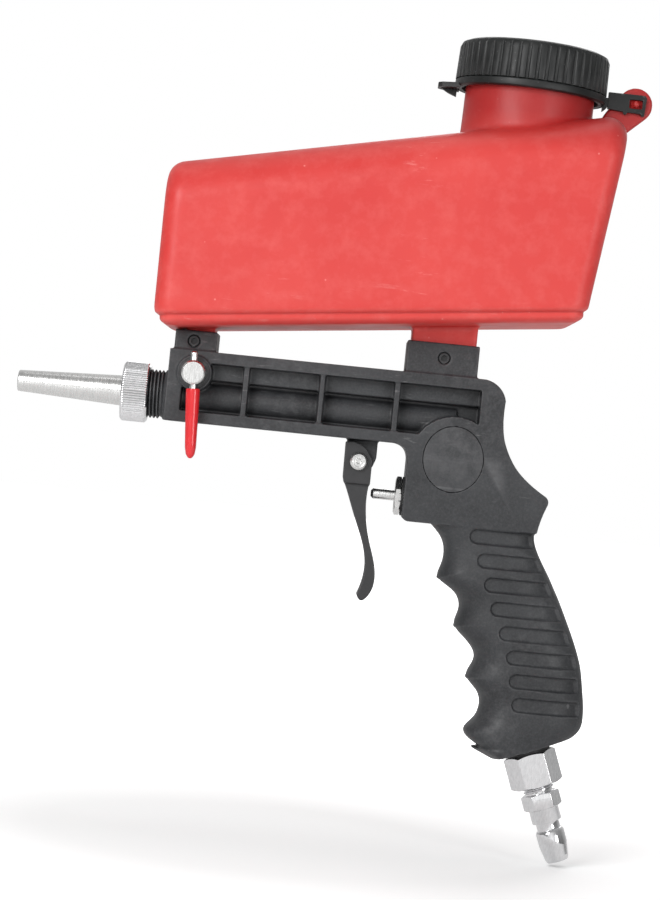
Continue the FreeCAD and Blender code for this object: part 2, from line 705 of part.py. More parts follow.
def side_discs():
    """The two oval blanking discs pressed into the sides of the valve housing."""
    proud = cells.disc_recess + 0.3
    near = disc_shape("side_disc_lever_side", cells.body_half_width - cells.disc_recess, proud,
                      cells.small_clearance)
    far = disc_shape("side_disc_far_side", -cells.body_half_width - 0.3, proud, cells.small_clearance)
    return [near, far]


# ---------------------------------------------------------------- hopper
def hopper_edges(shape, test):
    """The names of the edges whose middle point and direction pass the test."""
    names = []
    for index, edge in enumerate(shape.Edges, start=1):
        middle = edge.valueAt((edge.FirstParameter + edge.LastParameter) / 2)
        if test(middle, edge):
            names.append("Edge%d" % index)
    return names


def hopper_form(label, inset, side_inset):
    """The hopper's closed form: a sloping box with big shoulders and rounded ends."""
    body = new_body(label)
    sketch = new_sketch(body, "XZ_Plane", "outline")
    half_width = cells.hopper_half_width - side_inset
    draw_polygon(sketch, [
        (cells.hopper_front + inset, cells.hopper_front_bottom + inset),
        (cells.hopper_back_bottom_x - inset, cells.hopper_back_bottom_z + inset),
        (cells.hopper_back_top_x - inset, cells.hopper_back_top_z - inset),
        (cells.hopper_front + inset, cells.hopper_front_top - inset),
    ])
    feature = pad(body, sketch, "block", half_width * 2, midplane=True)
    middle_height = number(cells.hopper_back_bottom_z + cells.hopper_front_top) / 2

    def long_top(middle, edge):
        ends = [vertex.Point for vertex in edge.Vertexes]
        return abs(ends[0].x - ends[1].x) > 50 and middle.z > middle_height

    def long_bottom(middle, edge):
        ends = [vertex.Point for vertex in edge.Vertexes]
        return abs(ends[0].x - ends[1].x) > 50 and middle.z < middle_height

    def at_an_end(middle, edge):
        ends = [vertex.Point for vertex in edge.Vertexes]
        return all(on_front(point) for point in ends) or all(on_back(point) for point in ends)

    def on_front(point):
        return abs(point.x - number(cells.hopper_front + inset)) < 0.01

    def on_back(point):
        rise = number(cells.hopper_back_top_z - cells.hopper_back_bottom_z - inset * 2)
        run = number(cells.hopper_back_top_x - cells.hopper_back_bottom_x)
        height = point.z - number(cells.hopper_back_bottom_z + inset)
        return abs(point.x - number(cells.hopper_back_bottom_x - inset) - run * height / rise) < 0.05

    for name, test, radius in (
        ("shoulders", long_top, cells.shoulder_radius - inset),
        ("lower_edges", long_bottom, cells.bottom_radius - inset),
        ("ends", at_an_end, cells.end_radius - inset),
    ):
        edges = hopper_edges(feature.Shape, test)
        rounding = body.newObject("PartDesign::Fillet", label + "_" + name)
        rounding.Base = (feature, edges)
        bind(rounding, "Radius", radius)
        doc.recompute()
        feature = rounding
    return body


def on_neck(height):
    """The point of the neck's axis at a height above the strap ring."""
    axis = ALONG_NECK.multVec(Vector(number(height), 0, 0))
    return (cells.neck_x + axis.x, 0, cells.neck_z + axis.z)


def neck_cylinder(label, low, high, radius):
    """A cylinder around the neck axis between two heights above the strap ring."""
    return make_cylinder(label, on_neck(low), ALONG_NECK * ALONG_X, radius, number(high) - number(low))


def ear():
    """The flat ear that carries the stud of the cap's strap."""
    body = new_body("ear_plate")
    sketch = new_sketch(body, "XZ_Plane", "outline")
    draw_polygon(sketch, [
        (cells.ear_x - 14.0, cells.ear_z - 8.0),
        (cells.ear_x - 12.0, cells.ear_z - 12.5),
        (cells.ear_x - 4.2, cells.ear_z - 13.4),
        (cells.ear_x + 4.9, cells.ear_z - 5.1),
        (cells.ear_x - 4.7, cells.ear_z + 5.2),
        (cells.ear_x - 11.8, cells.ear_z - 3.9),
    ])
    pad(body, sketch, "form", cells.ear_half_width * 2, midplane=True)
    return body


def hopper():
    """The blow-moulded hopper with its neck, its two legs and the ear for the cap's strap."""
    outer = hopper_form("hopper_outside", 0.0, 0.0)
    inner = hopper_form("hopper_inside", cells.wall, cells.wall)
    leg_y = (-cells.leg_half_width, cells.leg_half_width)
    legs = [
        make_box("front_leg", (cells.front_leg_start, cells.front_leg_end), leg_y,
                 (cells.front_leg_bottom, cells.front_block_top + 4.6)),
        make_box("rear_leg", (cells.rear_leg_start, cells.rear_leg_end), leg_y,
                 (cells.rear_leg_bottom, cells.rear_block_top + 9)),
    ]
    neck = [
        neck_cylinder("neck_wall", -22, cells.neck_top, cells.neck_radius),
        neck_cylinder("neck_thread", 4.0, cells.neck_top - 1.5, cells.neck_thread_radius),
    ]
    ear_end = make_cylinder("ear_end", (cells.ear_x, -cells.ear_half_width, cells.ear_z), ALONG_Y,
                            cells.ear_radius, cells.ear_half_width * 2)
    stud_start = cells.ear_half_width + cells.strap_thickness + 0.4
    stud = make_cylinder("stud", (cells.ear_x, -stud_start - 0.6, cells.ear_z), ALONG_Y,
                         cells.stud_radius, stud_start + 0.6)
    stud_head = make_cylinder("stud_head", (cells.ear_x, -stud_start - 0.9, cells.ear_z), ALONG_Y,
                              cells.stud_head_radius, 0.9)
    form = join("hopper_form", [outer] + legs + neck + [ear(), ear_end, stud, stud_head])
    hollow = [
        inner,
        neck_cylinder("mouth", -24, cells.neck_top + 1, cells.neck_radius - cells.wall),
        make_cylinder("outlet", (cells.valve_x, 0, cells.front_leg_bottom - 1), ALONG_Z,
                      cells.feed_radius + 0.8,
                      cells.front_block_top),
    ]
    return cut("hopper", form, hollow)


def feed_seal():
    """The rubber seal between the front leg and the floor of its socket."""
    room = cells.small_clearance
    plate = make_box("feed_seal_plate", (cells.front_leg_start + room, cells.front_leg_end - room),
                     (-cells.leg_half_width + room, cells.leg_half_width - room),
                     (cells.front_leg_bottom - cells.feed_seal_height, cells.front_leg_bottom))
    hole = make_cylinder("feed_seal_hole", (cells.valve_x, 0, cells.front_leg_bottom - 3), ALONG_Z,
                         cells.feed_radius, 6)
    return cut("feed_seal", plate, [hole])


def set_screws():
    """The two hex-socket set screws that hold the hopper's legs."""
    length = cells.block_half_width - cells.leg_half_width - 0.7
    shapes = []
    for name, across, up in (("front", cells.front_screw_x, cells.front_screw_z),
                             ("rear", cells.rear_screw_x, cells.rear_screw_z)):
        body = new_body("set_screw_" + name)
        revolve(body, "form", [
            (0, 0), (length, 0), (length, cells.set_screw_radius - 0.5),
            (length - 0.5, cells.set_screw_radius), (0.6, cells.set_screw_radius),
            (0, cells.set_screw_radius - 0.6),
        ])
        sketch = new_sketch(body, "YZ_Plane", "socket", length)
        draw_polygon(sketch, hexagon(cells.set_screw_radius))
        socket = body.newObject("PartDesign::Pocket", body.Name + "_socket_cut")
        socket.Profile = sketch
        socket.Length = 1.6
        doc.recompute()
        place(body, across, -cells.leg_half_width - 0.2, up, TOWARDS_LEVER)
        shapes.append(body)
    doc.recompute()
    return keep_shape("leg_set_screws", Part.Compound([part.Shape for part in shapes]))


# ---------------------------------------------------------------- cap and strap
def hopper_cap():
    """The screw cap: ribbed skirt, dished top and a collar that turns in the strap ring."""
    body = new_body("hopper_cap")
    low = -cells.ring_half_height
    lip = low + cells.cap_lip_height
    skirt = cells.ring_half_height + 0.15
    revolve(body, "form", [
        (low, cells.cap_bore), (low, cells.cap_collar_radius + 0.4),
        (low + 0.3, cells.cap_collar_radius + 0.8),
        (lip, cells.cap_collar_radius + 0.8), (lip, cells.cap_collar_radius),
        (skirt, cells.cap_collar_radius),
        (skirt, cells.cap_radius + 0.35), (cells.cap_top - 2.6, cells.cap_radius),
        (cells.cap_top - 0.8, cells.cap_radius - 0.8), (cells.cap_top, cells.cap_radius - 2.6),
        (cells.cap_top, cells.cap_radius - 5.0), (cells.cap_top - 1.0, cells.cap_radius - 6.2),
        (cells.cap_top - 1.0, 0), (cells.neck_top + cells.gasket_height, 0),
        (cells.neck_top + cells.gasket_height, cells.cap_bore),
    ])
    flute = new_sketch(body, "YZ_Plane", "flute", skirt - 0.1)
    draw_circle(flute, (cells.cap_radius + 0.4, 0), 0.85)
    groove = body.newObject("PartDesign::Pocket", "hopper_cap_groove")
    groove.Profile = flute
    groove.Reversed = True
    bind(groove, "Length", cells.cap_top - skirt)
    doc.recompute()
    ring = body.newObject("PartDesign::PolarPattern", "hopper_cap_grooves")
    ring.Originals = [groove]
    ring.Axis = (flute, ["N_Axis"])
    ring.Angle = 360
    bind(ring, "Occurrences", int(number(cells.cap_rib_count)))
    body.Tip = ring
    doc.recompute()
    return place(body, *on_neck(0), ALONG_NECK)


def cap_gasket():
    """The soft ring in the cap that seals on the rim of the neck."""
    low = cells.neck_top + 0.05
    high = cells.neck_top + cells.gasket_height
    outer = cells.cap_bore - cells.small_clearance
    inner = cells.neck_radius - cells.wall - 1
    body = turned("cap_gasket", [(low, inner), (high, inner), (high, outer), (low, outer)])
    return place(body, *on_neck(0), ALONG_NECK)


def cap_ring():
    """The strap's ring: it turns on the cap and carries a thumb tab in front."""
    ring = new_body("cap_ring_form")
    inner = cells.cap_collar_radius + cells.running_clearance
    half = cells.ring_half_height
    revolve(ring, "form", [
        (-half, inner), (-half, cells.ring_radius - 0.5), (0.5 - half, cells.ring_radius),
        (half - 0.5, cells.ring_radius), (half, cells.ring_radius - 0.5), (half, inner),
    ])
    place(ring, *on_neck(0), ALONG_NECK)
    tab = new_body("cap_ring_tab")
    sketch = new_sketch(tab, "XY_Plane", "outline", cells.neck_z - 1.6)
    tip = cells.neck_x - cells.ring_radius - 6.9
    draw_polygon(sketch, [
        (tip, -3.2), (tip + 1.6, -5.6), (tip + 9.0, -9.0), (tip + 9.0, 9.0), (tip + 1.6, 5.6), (tip, 3.2),
    ])
    pad(tab, sketch, "form", 2.0)
    gusset = new_body("cap_ring_gusset")
    side = new_sketch(gusset, "XZ_Plane", "outline")
    draw_polygon(side, [
        (tip + 0.8, cells.neck_z - 1.4), (tip + 4.2, cells.neck_z - 3.4),
        (tip + 10.4, cells.neck_z - 5.8), (tip + 10.4, cells.neck_z - 1.4),
    ])
    pad(gusset, side, "form", 2.0, midplane=True)
    root = new_body("cap_ring_root")
    root_half_width = 2.5
    under = new_sketch(root, "XZ_Plane", "outline", -root_half_width)
    rear = cells.neck_x + cells.ring_radius
    draw_polygon(under, [
        (rear - 4.0, cells.neck_z - 1.4), (rear - 3.4, cells.neck_z - 5.6),
        (rear - 0.6, cells.neck_z - 4.4), (rear + 0.6, cells.neck_z - 3.2),
        (rear + 0.6, cells.neck_z + 0.6), (rear - 1.5, cells.neck_z + 0.6),
    ])
    pad(root, under, "form", cells.ear_half_width + 0.2 + cells.strap_thickness + root_half_width)
    bore = neck_cylinder("cap_ring_bore", -8, 8, inner)
    lip = neck_cylinder("cap_ring_lip_room", -8, cells.cap_lip_height + 0.1 - half,
                        cells.cap_collar_radius + 1.0)
    return cut("cap_ring", join("cap_ring_blank", [ring, tab, gusset, root]), [bore, lip])


def cap_strap():
    """The flat strap from the ring to the stud on the hopper's ear."""
    body = new_body("cap_strap")
    sketch = new_sketch(body, "XZ_Plane", "outline", cells.ear_half_width + 0.2)
    start = cells.neck_x + cells.ring_radius + 0.65
    draw_polygon(sketch, [
        (start, cells.ear_z - 2.9), (cells.ear_x - 5.0, cells.ear_z - 3.5),
        (cells.ear_x - 4.9, cells.ear_z - 4.5), (cells.ear_x - 3.6, cells.ear_z - 4.5),
        (cells.ear_x - 3.4, cells.ear_z - 3.6), (cells.ear_x + 2.2, cells.ear_z - 3.8),
        (cells.ear_x + 2.5, cells.ear_z - 4.8), (cells.ear_x + 3.8, cells.ear_z - 4.5),
        (cells.ear_x + 4.3, cells.ear_z + 2.9), (cells.ear_x + 3.5, cells.ear_z + 3.9),
        (start, cells.ear_z + 4.1),
    ])
    pad(body, sketch, "form", cells.strap_thickness)
    slot = new_sketch(body, "XZ_Plane", "slot", cells.ear_half_width)
    draw_polygon(slot, [
        (cells.ear_x - 2.7, cells.ear_z - 1.8), (cells.ear_x + 2.7, cells.ear_z - 1.8),
        (cells.ear_x + 2.7, cells.ear_z + 1.8), (cells.ear_x - 2.7, cells.ear_z + 1.8),
    ])
    pocket_through(body, slot, "slot_cut")
    return body


# ---------------------------------------------------------------- feed valve
def feed_valve():
    """The valve stem, its seals and clip, and the lever that turns it."""
    stem = new_body("feed_valve_stem")
    face = cells.valve_boss_reach
    radius = cells.valve_radius
    groove = radius - 1.2
    revolve(stem, "form", [
        (-cells.valve_inner_end, 0), (-cells.valve_inner_end, radius - 0.5),
        (0.5 - cells.valve_inner_end, radius),
        (-7.4, radius), (-7.4, groove), (-5.4, groove), (-5.4, radius),
        (9.0, radius), (9.0, groove), (11.0, groove), (11.0, radius),
        (face + 0.25, radius), (face + 0.25, groove), (face + 1.15, groove), (face + 1.15, radius),
        (cells.valve_reach - 0.7, radius), (cells.valve_reach, radius - 0.7), (cells.valve_reach, 0),
    ])
    across = new_sketch(stem, "XY_Plane", "feed_hole")
    draw_circle(across, (0, 0), cells.feed_radius)
    draw_circle(across, (cells.lever_reach, 0), cells.lever_radius + cells.small_clearance)
    pocket_through(stem, across, "cross_holes")
    parts = [stem]

    section = (number(radius) - number(groove)) / 2 - number(cells.small_clearance)
    ring = number(groove) + number(cells.small_clearance) + section
    seals = [Part.makeTorus(ring, section, Vector(reach, 0, 0), Vector(1, 0, 0)) for reach in (-6.4, 10.0)]
    parts.append(keep_shape("stem_seals", Part.Compound(seals)))

    parts.append(turned("stem_clip", [
        (face + 0.3, groove + 0.03), (face + 1.1, groove + 0.03),
        (face + 1.1, radius + 1.3), (face + 0.3, radius + 1.3),
    ]))
    lean = Rotation(Vector(0, 1, 0), -number(cells.lever_lean))
    for part in parts:
        place(part, cells.valve_x, 0, cells.valve_z, lean * TOWARDS_LEVER)

    rod_end = cells.sleeve_end + 3.0
    rod = turned("lever_rod", [
        (rod_end, 0), (rod_end, cells.lever_radius), (cells.lever_top - 0.5, cells.lever_radius),
        (cells.lever_top, cells.lever_radius - 0.5), (cells.lever_top, 0),
    ])
    inner = cells.lever_radius + 0.02
    sleeve = turned("lever_sleeve", [
        (cells.sleeve_start, inner), (cells.sleeve_start, 2.6), (cells.sleeve_start - 0.4, 2.85),
        (cells.sleeve_end + 17, 2.65), (cells.sleeve_end + 4.5, 2.3), (cells.sleeve_end + 1.6, 1.8),
        (cells.sleeve_end + 0.5, 1.1), (cells.sleeve_end, 0.5), (cells.sleeve_end, 0),
        (rod_end - 0.02, 0), (rod_end - 0.02, inner),
    ])
    for part in (rod, sleeve):
        place(part, cells.valve_x, -cells.lever_reach, cells.valve_z, lean * Rotation(Vector(0, 1, 0), -90))
    return parts + [rod, sleeve]


# ---------------------------------------------------------------- nozzle and air jet
def nozzle():
    """The hardened nozzle: tapered barrel, flange and spigot."""
    bore = cells.nozzle_bore
    return turned("nozzle", [
        (-cells.nozzle_reach, bore), (-cells.nozzle_reach, cells.nozzle_tip_radius - 0.4),
        (0.4 - cells.nozzle_reach, cells.nozzle_tip_radius),
        (-cells.nozzle_flange, cells.nozzle_root_radius),
        (-cells.nozzle_flange, cells.nozzle_flange_radius - 0.3),
        (0.3 - cells.nozzle_flange, cells.nozzle_flange_radius), (-0.3, cells.nozzle_flange_radius),
        (0, cells.nozzle_flange_radius - 0.3), (0, cells.nozzle_spigot_radius),
        (cells.nozzle_spigot - 0.5, cells.nozzle_spigot_radius),
        (cells.nozzle_spigot, cells.nozzle_spigot_radius - 0.5),
        (cells.nozzle_spigot, bore),
    ])


def nozzle_nut():
    """The knurled nut that clamps the nozzle's flange against the nose."""
    back = cells.nut_length - cells.nozzle_flange - cells.nut_lip - 0.05
    lip = -cells.nozzle_flange - 0.05
    front = lip - cells.nut_lip
    thread = cells.nose_radius + cells.running_clearance
    return turned("nozzle_nut", [
        (front, cells.nut_opening), (front, cells.nut_radius - 0.9), (front + 0.9, cells.nut_radius),
        (back - 0.9, cells.nut_radius), (back, cells.nut_radius - 0.9), (back, thread),
        (lip, thread), (lip, cells.nut_opening),
    ])


def air_jet():
    """The tube that carries the air to the mixing point under the feed hole."""
    back = cells.jet_end - 1.2
    return turned("air_jet", [
        (cells.jet_start, cells.jet_bore * 0.7), (cells.jet_start, cells.jet_radius - 0.9),
        (cells.jet_start + 2, cells.jet_radius), (back, cells.jet_radius), (back, cells.jet_bore),
        (cells.jet_start + 6, cells.jet_bore), (cells.jet_start + 3, cells.jet_bore * 0.7),
    ])


# ---------------------------------------------------------------- trigger
def trigger():
    """The clevis trigger: two cheeks around the lug and one curved lever."""
    body = new_body("trigger")
    pivot_x = cells.pivot_x
    pivot_z = cells.pivot_z
    cheeks = new_sketch(body, "XZ_Plane", "cheek_outline")
    draw_polygon(cheeks, [
        (pivot_x - 6.2, pivot_z + 7.7), (pivot_x - 2.5, pivot_z + 7.8), (pivot_x + 0.6, pivot_z + 6.8),
        (pivot_x + 2.9, pivot_z + 5.0), (pivot_x + 4.6, pivot_z + 2.6), (pivot_x + 5.6, pivot_z + 0.4),
        (pivot_x + 5.6, pivot_z - 9.4), (pivot_x - 5.4, pivot_z - 9.4), (pivot_x - 6.0, pivot_z - 7.0),
    ])
    pad(body, cheeks, "cheeks", cells.trigger_half_width * 2, midplane=True)
    slot = new_sketch(body, "YZ_Plane", "slot")
    room = cells.lug_half_width + cells.trigger_gap
    draw_polygon(slot, [
        (-room, pivot_z - 6.6), (room, pivot_z - 6.6), (room, pivot_z + 12), (-room, pivot_z + 12),
    ])
    pocket_through(body, slot, "slot_cut")
    lever = new_sketch(body, "XZ_Plane", "lever_outline")
    top = pivot_z - 8.2
    draw_curves(lever, [
        [(pivot_x - 5.7, top), (pivot_x + 5.4, top)],
        [(pivot_x + 5.4, top), (pivot_x + 5.0, pivot_z - 19.8), (pivot_x + 7.6, pivot_z - 32.3),
         (pivot_x + 10.6, pivot_z - 41.6), (pivot_x + 10.9, pivot_z - 51.2), (pivot_x + 8.6, pivot_z - 55.7)],
        [(pivot_x + 8.6, pivot_z - 55.7), (pivot_x + 6.6, pivot_z - 57.0), (pivot_x + 4.3, pivot_z - 54.5)],
        [(pivot_x + 4.3, pivot_z - 54.5), (pivot_x + 5.9, pivot_z - 49.5), (pivot_x + 6.6, pivot_z - 43.0),
         (pivot_x + 5.3, pivot_z - 35.2), (pivot_x + 1.9, pivot_z - 26.4), (pivot_x - 1.1, pivot_z - 19.2),
         (pivot_x - 4.5, pivot_z - 10.7), (pivot_x - 5.7, top)],
    ])
    pad(body, lever, "lever", cells.lever_half_width * 2, midplane=True)
    hole = new_sketch(body, "XZ_Plane", "pivot_hole")
    draw_circle(hole, (pivot_x, pivot_z), cells.pivot_radius + cells.running_clearance)
    pocket_through(body, hole, "pivot_cut")
    return body


def trigger_pivot():
    """The shouldered pivot bolt and the nut on its far end."""
    side = cells.trigger_half_width + cells.trigger_gap
    bolt = turned("trigger_pivot_bolt", [
        (-side - 3.6, 0), (-side - 3.6, cells.pivot_radius - 0.4), (-side - 3.2, cells.pivot_radius),
        (side, cells.pivot_radius), (side, cells.pivot_head_radius), (side + 1.7, cells.pivot_head_radius),
        (side + 2.4, cells.pivot_head_radius - 0.8), (side + 2.4, 2.5), (side + 1.6, 2.3), (side + 1.6, 1.2),
        (side + 2.1, 0.8), (side + 2.1, 0),
    ])
    nut = new_body("trigger_pivot_nut")
    add_hexagon(nut, "hexagon", 7.0, -side - 3.2, 3.2)
    hole = [
        (-side - 3.4, 0), (-side - 3.4, cells.pivot_radius + 0.02), (0.2 - side, cells.pivot_radius + 0.02),
        (0.2 - side, 0),
    ]
    revolve(nut, "hole", hole, cut=True)
    for part in (bolt, nut):
        place(part, cells.pivot_x, 0, cells.pivot_z, TOWARDS_LEVER)
    return [bolt, nut]


# ---------------------------------------------------------------- air valve
def air_valve():
    """Pin, poppet, seat, spring, gland nut, washer and seal of the air valve."""
    gap = cells.small_clearance
    pin_radius = cells.pin_radius
    stud = pin_radius - 0.7
    shoulder = cells.seat_end + 0.15
    pin = turned("valve_pin", [
        (cells.pin_tip, 0), (cells.pin_tip, pin_radius - 1.0), (cells.pin_tip + 1.0, pin_radius),
        (shoulder - 0.1, pin_radius), (shoulder - 0.1, stud), (cells.poppet_end, stud), (cells.poppet_end, 0),
    ])
    poppet = turned("valve_poppet", [
        (shoulder, stud + 0.02), (shoulder, 4.6), (shoulder + 0.6, 5.2), (shoulder + 2.4, 5.2),
        (shoulder + 2.4, 3.2), (cells.poppet_end, 3.2), (cells.poppet_end, stud + 0.02),
    ])
    seat = turned("valve_seat", [
        (cells.seat_start, cells.seat_bore), (cells.seat_end, cells.seat_bore),
        (cells.seat_end, cells.chamber_radius - gap), (cells.seat_start, cells.chamber_radius - gap),
    ])
    seal = turned("pin_seal", [
        (cells.gland_end + 0.1, pin_radius + gap), (cells.gland_end + 2.1, pin_radius + gap),
        (cells.gland_end + 2.1, cells.chamber_radius - gap),
        (cells.gland_end + 0.1, cells.chamber_radius - gap),
    ])
    washer = turned("gland_washer", [
        (cells.gland_head_end, cells.chamber_radius), (cells.gland_head_end, 8.0),
        (cells.housing_front, 8.0), (cells.housing_front, cells.chamber_radius),
    ])
    gland = new_body("gland_nut")
    add_hexagon(gland, "hexagon", cells.gland_hex, cells.gland_front,
                cells.gland_head_end - cells.gland_front, 10)
    revolve(gland, "shank", [
        (cells.gland_head_end - 1, 0), (cells.gland_head_end - 1, cells.chamber_radius - gap),
        (cells.gland_end, cells.chamber_radius - gap), (cells.gland_end, 0),
    ])
    revolve(gland, "hole", [
        (cells.gland_front - 1, 0), (cells.gland_front - 1, pin_radius + gap),
        (cells.gland_end + 1, pin_radius + gap), (cells.gland_end + 1, 0),
    ], cut=True)
    parts = [pin, poppet, seat, seal, washer, gland, valve_spring()]
    for part in parts:
        place(part, 0, 0, cells.pin_z)
    return parts


def valve_spring():
    """The coil spring behind the poppet."""
    wire = number(cells.spring_wire)
    radius = number(cells.spring_radius)
    start = number(cells.poppet_end) - 1.0 + wire + 0.05
    length = number(cells.chamber_end) - start - wire - 0.1
    helix = Part.makeHelix(number(cells.spring_pitch), length, radius)
    helix.rotate(Vector(), Vector(0, 1, 0), 90)
    helix.translate(Vector(start, 0, 0))
    section = Part.Wire(Part.makeCircle(wire, Vector(start, 0, -radius), Vector(0, 1, 0)))
    return keep_shape("valve_spring", Part.Wire(helix).makePipeShell([section], True, True))


# ---------------------------------------------------------------- air inlet
def air_inlet():
    """The hexagon fitting in the grip, its washer and the quick-connect plug."""
    gap = cells.small_clearance
    shank = cells.inlet_shank_radius
    top = -cells.inlet_washer - cells.inlet_shank
    thread = cells.plug_thread_radius + cells.running_clearance
    fitting = new_body("inlet_fitting")
    add_hexagon(fitting, "hexagon", cells.inlet_hex, 0.0, cells.inlet_length)
    revolve(fitting, "shank", [(top, 0), (top, shank), (0.5, shank), (0.5, 0)])
    revolve(fitting, "hole", [
        (top - 1, 0), (top - 1, cells.inlet_bore), (1.0, cells.inlet_bore), (1.0, thread),
        (cells.inlet_length + 1, thread), (cells.inlet_length + 1, 0),
    ], cut=True)
    washer = turned("inlet_washer", [
        (-cells.inlet_washer, shank + gap), (-cells.inlet_washer, 9.0), (-0.02, 9.0), (-0.02, shank + gap),
    ])
    start = cells.inlet_length - 10.5
    hexagon_start = start + 13.5
    plug = new_body("air_plug")
    add_hexagon(plug, "hexagon", cells.plug_hex, hexagon_start, 6.6)
    collar = hexagon_start + 6.6
    neck = collar + 5.7
    head = neck + 3.4
    tip = head + 13.5
    revolve(plug, "form", [
        (start, 0), (start, cells.plug_thread_radius - 0.9), (start + 1, cells.plug_thread_radius),
        (hexagon_start + 0.5, cells.plug_thread_radius), (hexagon_start + 0.5, 6.15), (collar, 6.15),
        (neck, 6.15), (neck, 4.85), (head, 4.85), (head, 5.3), (head + 1.0, 5.9), (head + 6.0, 5.9),
        (tip - 1.2, 4.9), (tip, 4.4), (tip, 0),
    ])
    revolve(plug, "hole", [
        (start - 1, 0), (start - 1, cells.plug_bore), (tip + 1, cells.plug_bore), (tip + 1, 0),
    ], cut=True)
    parts = [fitting, washer, plug]
    for part in parts:
        place(part, cells.inlet_x, 0, cells.inlet_z, ALONG_INLET)
    return parts


# ---------------------------------------------------------------- build, check and write
def check_document():
    """Stop if any object of the document failed to compute."""
    for item in doc.Objects:
        if "Invalid" in item.State or "Error" in item.State:
            raise RuntimeError("%s failed: %s" % (item.Name, item.State))


def write_parts(parts):
    """Check each sub-part's solid and write it under its own name."""
    os.makedirs("parts", exist_ok=True)
    for part in parts:
        if part.Shape.isNull() or not part.Shape.isValid() or part.Shape.Volume <= 0:
            raise RuntimeError("%s has no valid solid" % part.Label)
        part.Shape.exportStep(os.path.join("parts", part.Label + ".step"))
        print("%-24s %10.1f mm3" % (part.Label, part.Shape.Volume))


def main():
    """Build every sub-part and write it."""
    parts = [gun_body(), hopper(), feed_seal(), set_screws()]
    parts += side_discs()
    parts += [hopper_cap(), cap_gasket(), cap_ring(), cap_strap()]
    parts += feed_valve()
    parts += [nozzle(), nozzle_nut(), air_jet(), trigger()]
    parts += trigger_pivot()
    parts += air_valve()
    parts += air_inlet()
    doc.recompute()
    check_document()
    write_parts(parts)


main()
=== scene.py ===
"""The looks of the abrasive blasting gun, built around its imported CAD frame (metres)."""
import json
import math

import bmesh
import bpy
from mathutils import Matrix, Vector


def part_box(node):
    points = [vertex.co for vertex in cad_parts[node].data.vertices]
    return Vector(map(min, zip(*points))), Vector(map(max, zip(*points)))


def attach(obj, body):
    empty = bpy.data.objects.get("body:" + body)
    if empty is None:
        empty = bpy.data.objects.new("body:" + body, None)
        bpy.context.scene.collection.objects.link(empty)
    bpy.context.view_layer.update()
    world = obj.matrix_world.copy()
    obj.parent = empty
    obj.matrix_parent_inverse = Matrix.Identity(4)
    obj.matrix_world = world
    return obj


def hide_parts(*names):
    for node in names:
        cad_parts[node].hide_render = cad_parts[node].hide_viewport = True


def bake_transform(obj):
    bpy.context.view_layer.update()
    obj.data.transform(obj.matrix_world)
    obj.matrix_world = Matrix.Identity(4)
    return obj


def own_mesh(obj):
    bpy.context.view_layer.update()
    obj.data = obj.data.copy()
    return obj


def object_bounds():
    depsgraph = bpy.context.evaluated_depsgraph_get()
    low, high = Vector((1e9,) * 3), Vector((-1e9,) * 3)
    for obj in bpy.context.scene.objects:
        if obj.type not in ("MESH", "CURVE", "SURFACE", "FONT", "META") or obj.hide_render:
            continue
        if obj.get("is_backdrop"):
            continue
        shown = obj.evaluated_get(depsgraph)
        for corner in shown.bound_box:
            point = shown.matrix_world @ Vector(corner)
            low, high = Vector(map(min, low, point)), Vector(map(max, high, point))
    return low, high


MM = 0.001

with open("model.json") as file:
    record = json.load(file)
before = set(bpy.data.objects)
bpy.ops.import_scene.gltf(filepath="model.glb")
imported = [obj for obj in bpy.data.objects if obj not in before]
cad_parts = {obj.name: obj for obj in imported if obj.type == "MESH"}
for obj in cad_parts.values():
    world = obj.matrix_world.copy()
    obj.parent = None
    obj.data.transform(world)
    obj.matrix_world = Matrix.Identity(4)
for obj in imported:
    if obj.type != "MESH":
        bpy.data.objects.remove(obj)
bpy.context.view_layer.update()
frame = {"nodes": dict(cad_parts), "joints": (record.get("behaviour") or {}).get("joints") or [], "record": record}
nodes = frame["nodes"]
joints = {joint["name"]: joint for joint in frame["joints"]}
mounts = {mount["name"]: mount for mount in frame["record"]["mounts"]}

ORIGIN = Vector()
X_AXIS = Vector((1, 0, 0))
NECK_POINT = Vector(joints["cap_turn"]["pos_m"])
NECK_AXIS = Vector(joints["cap_turn"]["axis"]).normalized()
PLUG_POINT = Vector(mounts["air_plug_collar"]["pos_m"])
PLUG_AXIS = Vector(mounts["air_plug_collar"]["axis"]).normalized()

# The nose thread, M20 x 1.5.
NOSE_CREST = 10.0 * MM
NOSE_ROOT = 9.1 * MM
NOSE_PITCH = 1.5 * MM
# The neck thread under the cap, and the plain band that stands for it in CAD.
NECK_BAND = 28.2 * MM
NECK_CREST = 28.15 * MM
NECK_WALL = 26.85 * MM
NECK_PITCH = 4.0 * MM
# The plug's tapered thread.
PLUG_CREST = 6.5 * MM
PLUG_ROOT = 5.6 * MM
PLUG_PITCH = 1.34 * MM
# Points closer than this are one corner of the CAD mesh.
WELD_DISTANCE = 0.002 * MM
# Small bevels that break a sharp edge.
BEVEL_SEGMENTS = 2
BEVEL_ANGLE = math.radians(32)
# How much smaller the trigger's smoothed skin is made, so that it stays clear of the valve pin.
TRIGGER_SHRINK = 0.08 * MM


# ---------------------------------------------------------------- mesh helpers
def new_object(name, mesh):
    """Link a mesh as a new object."""
    thing = bpy.data.objects.new(name, mesh)
    bpy.context.scene.collection.objects.link(thing)
    return thing


def applied(thing):
    """Bake the object's modifiers into its mesh."""
    graph = bpy.context.evaluated_depsgraph_get()
    mesh = bpy.data.meshes.new_from_object(thing.evaluated_get(graph))
    thing.modifiers.clear()
    old = thing.data
    thing.data = mesh
    bpy.data.meshes.remove(old)


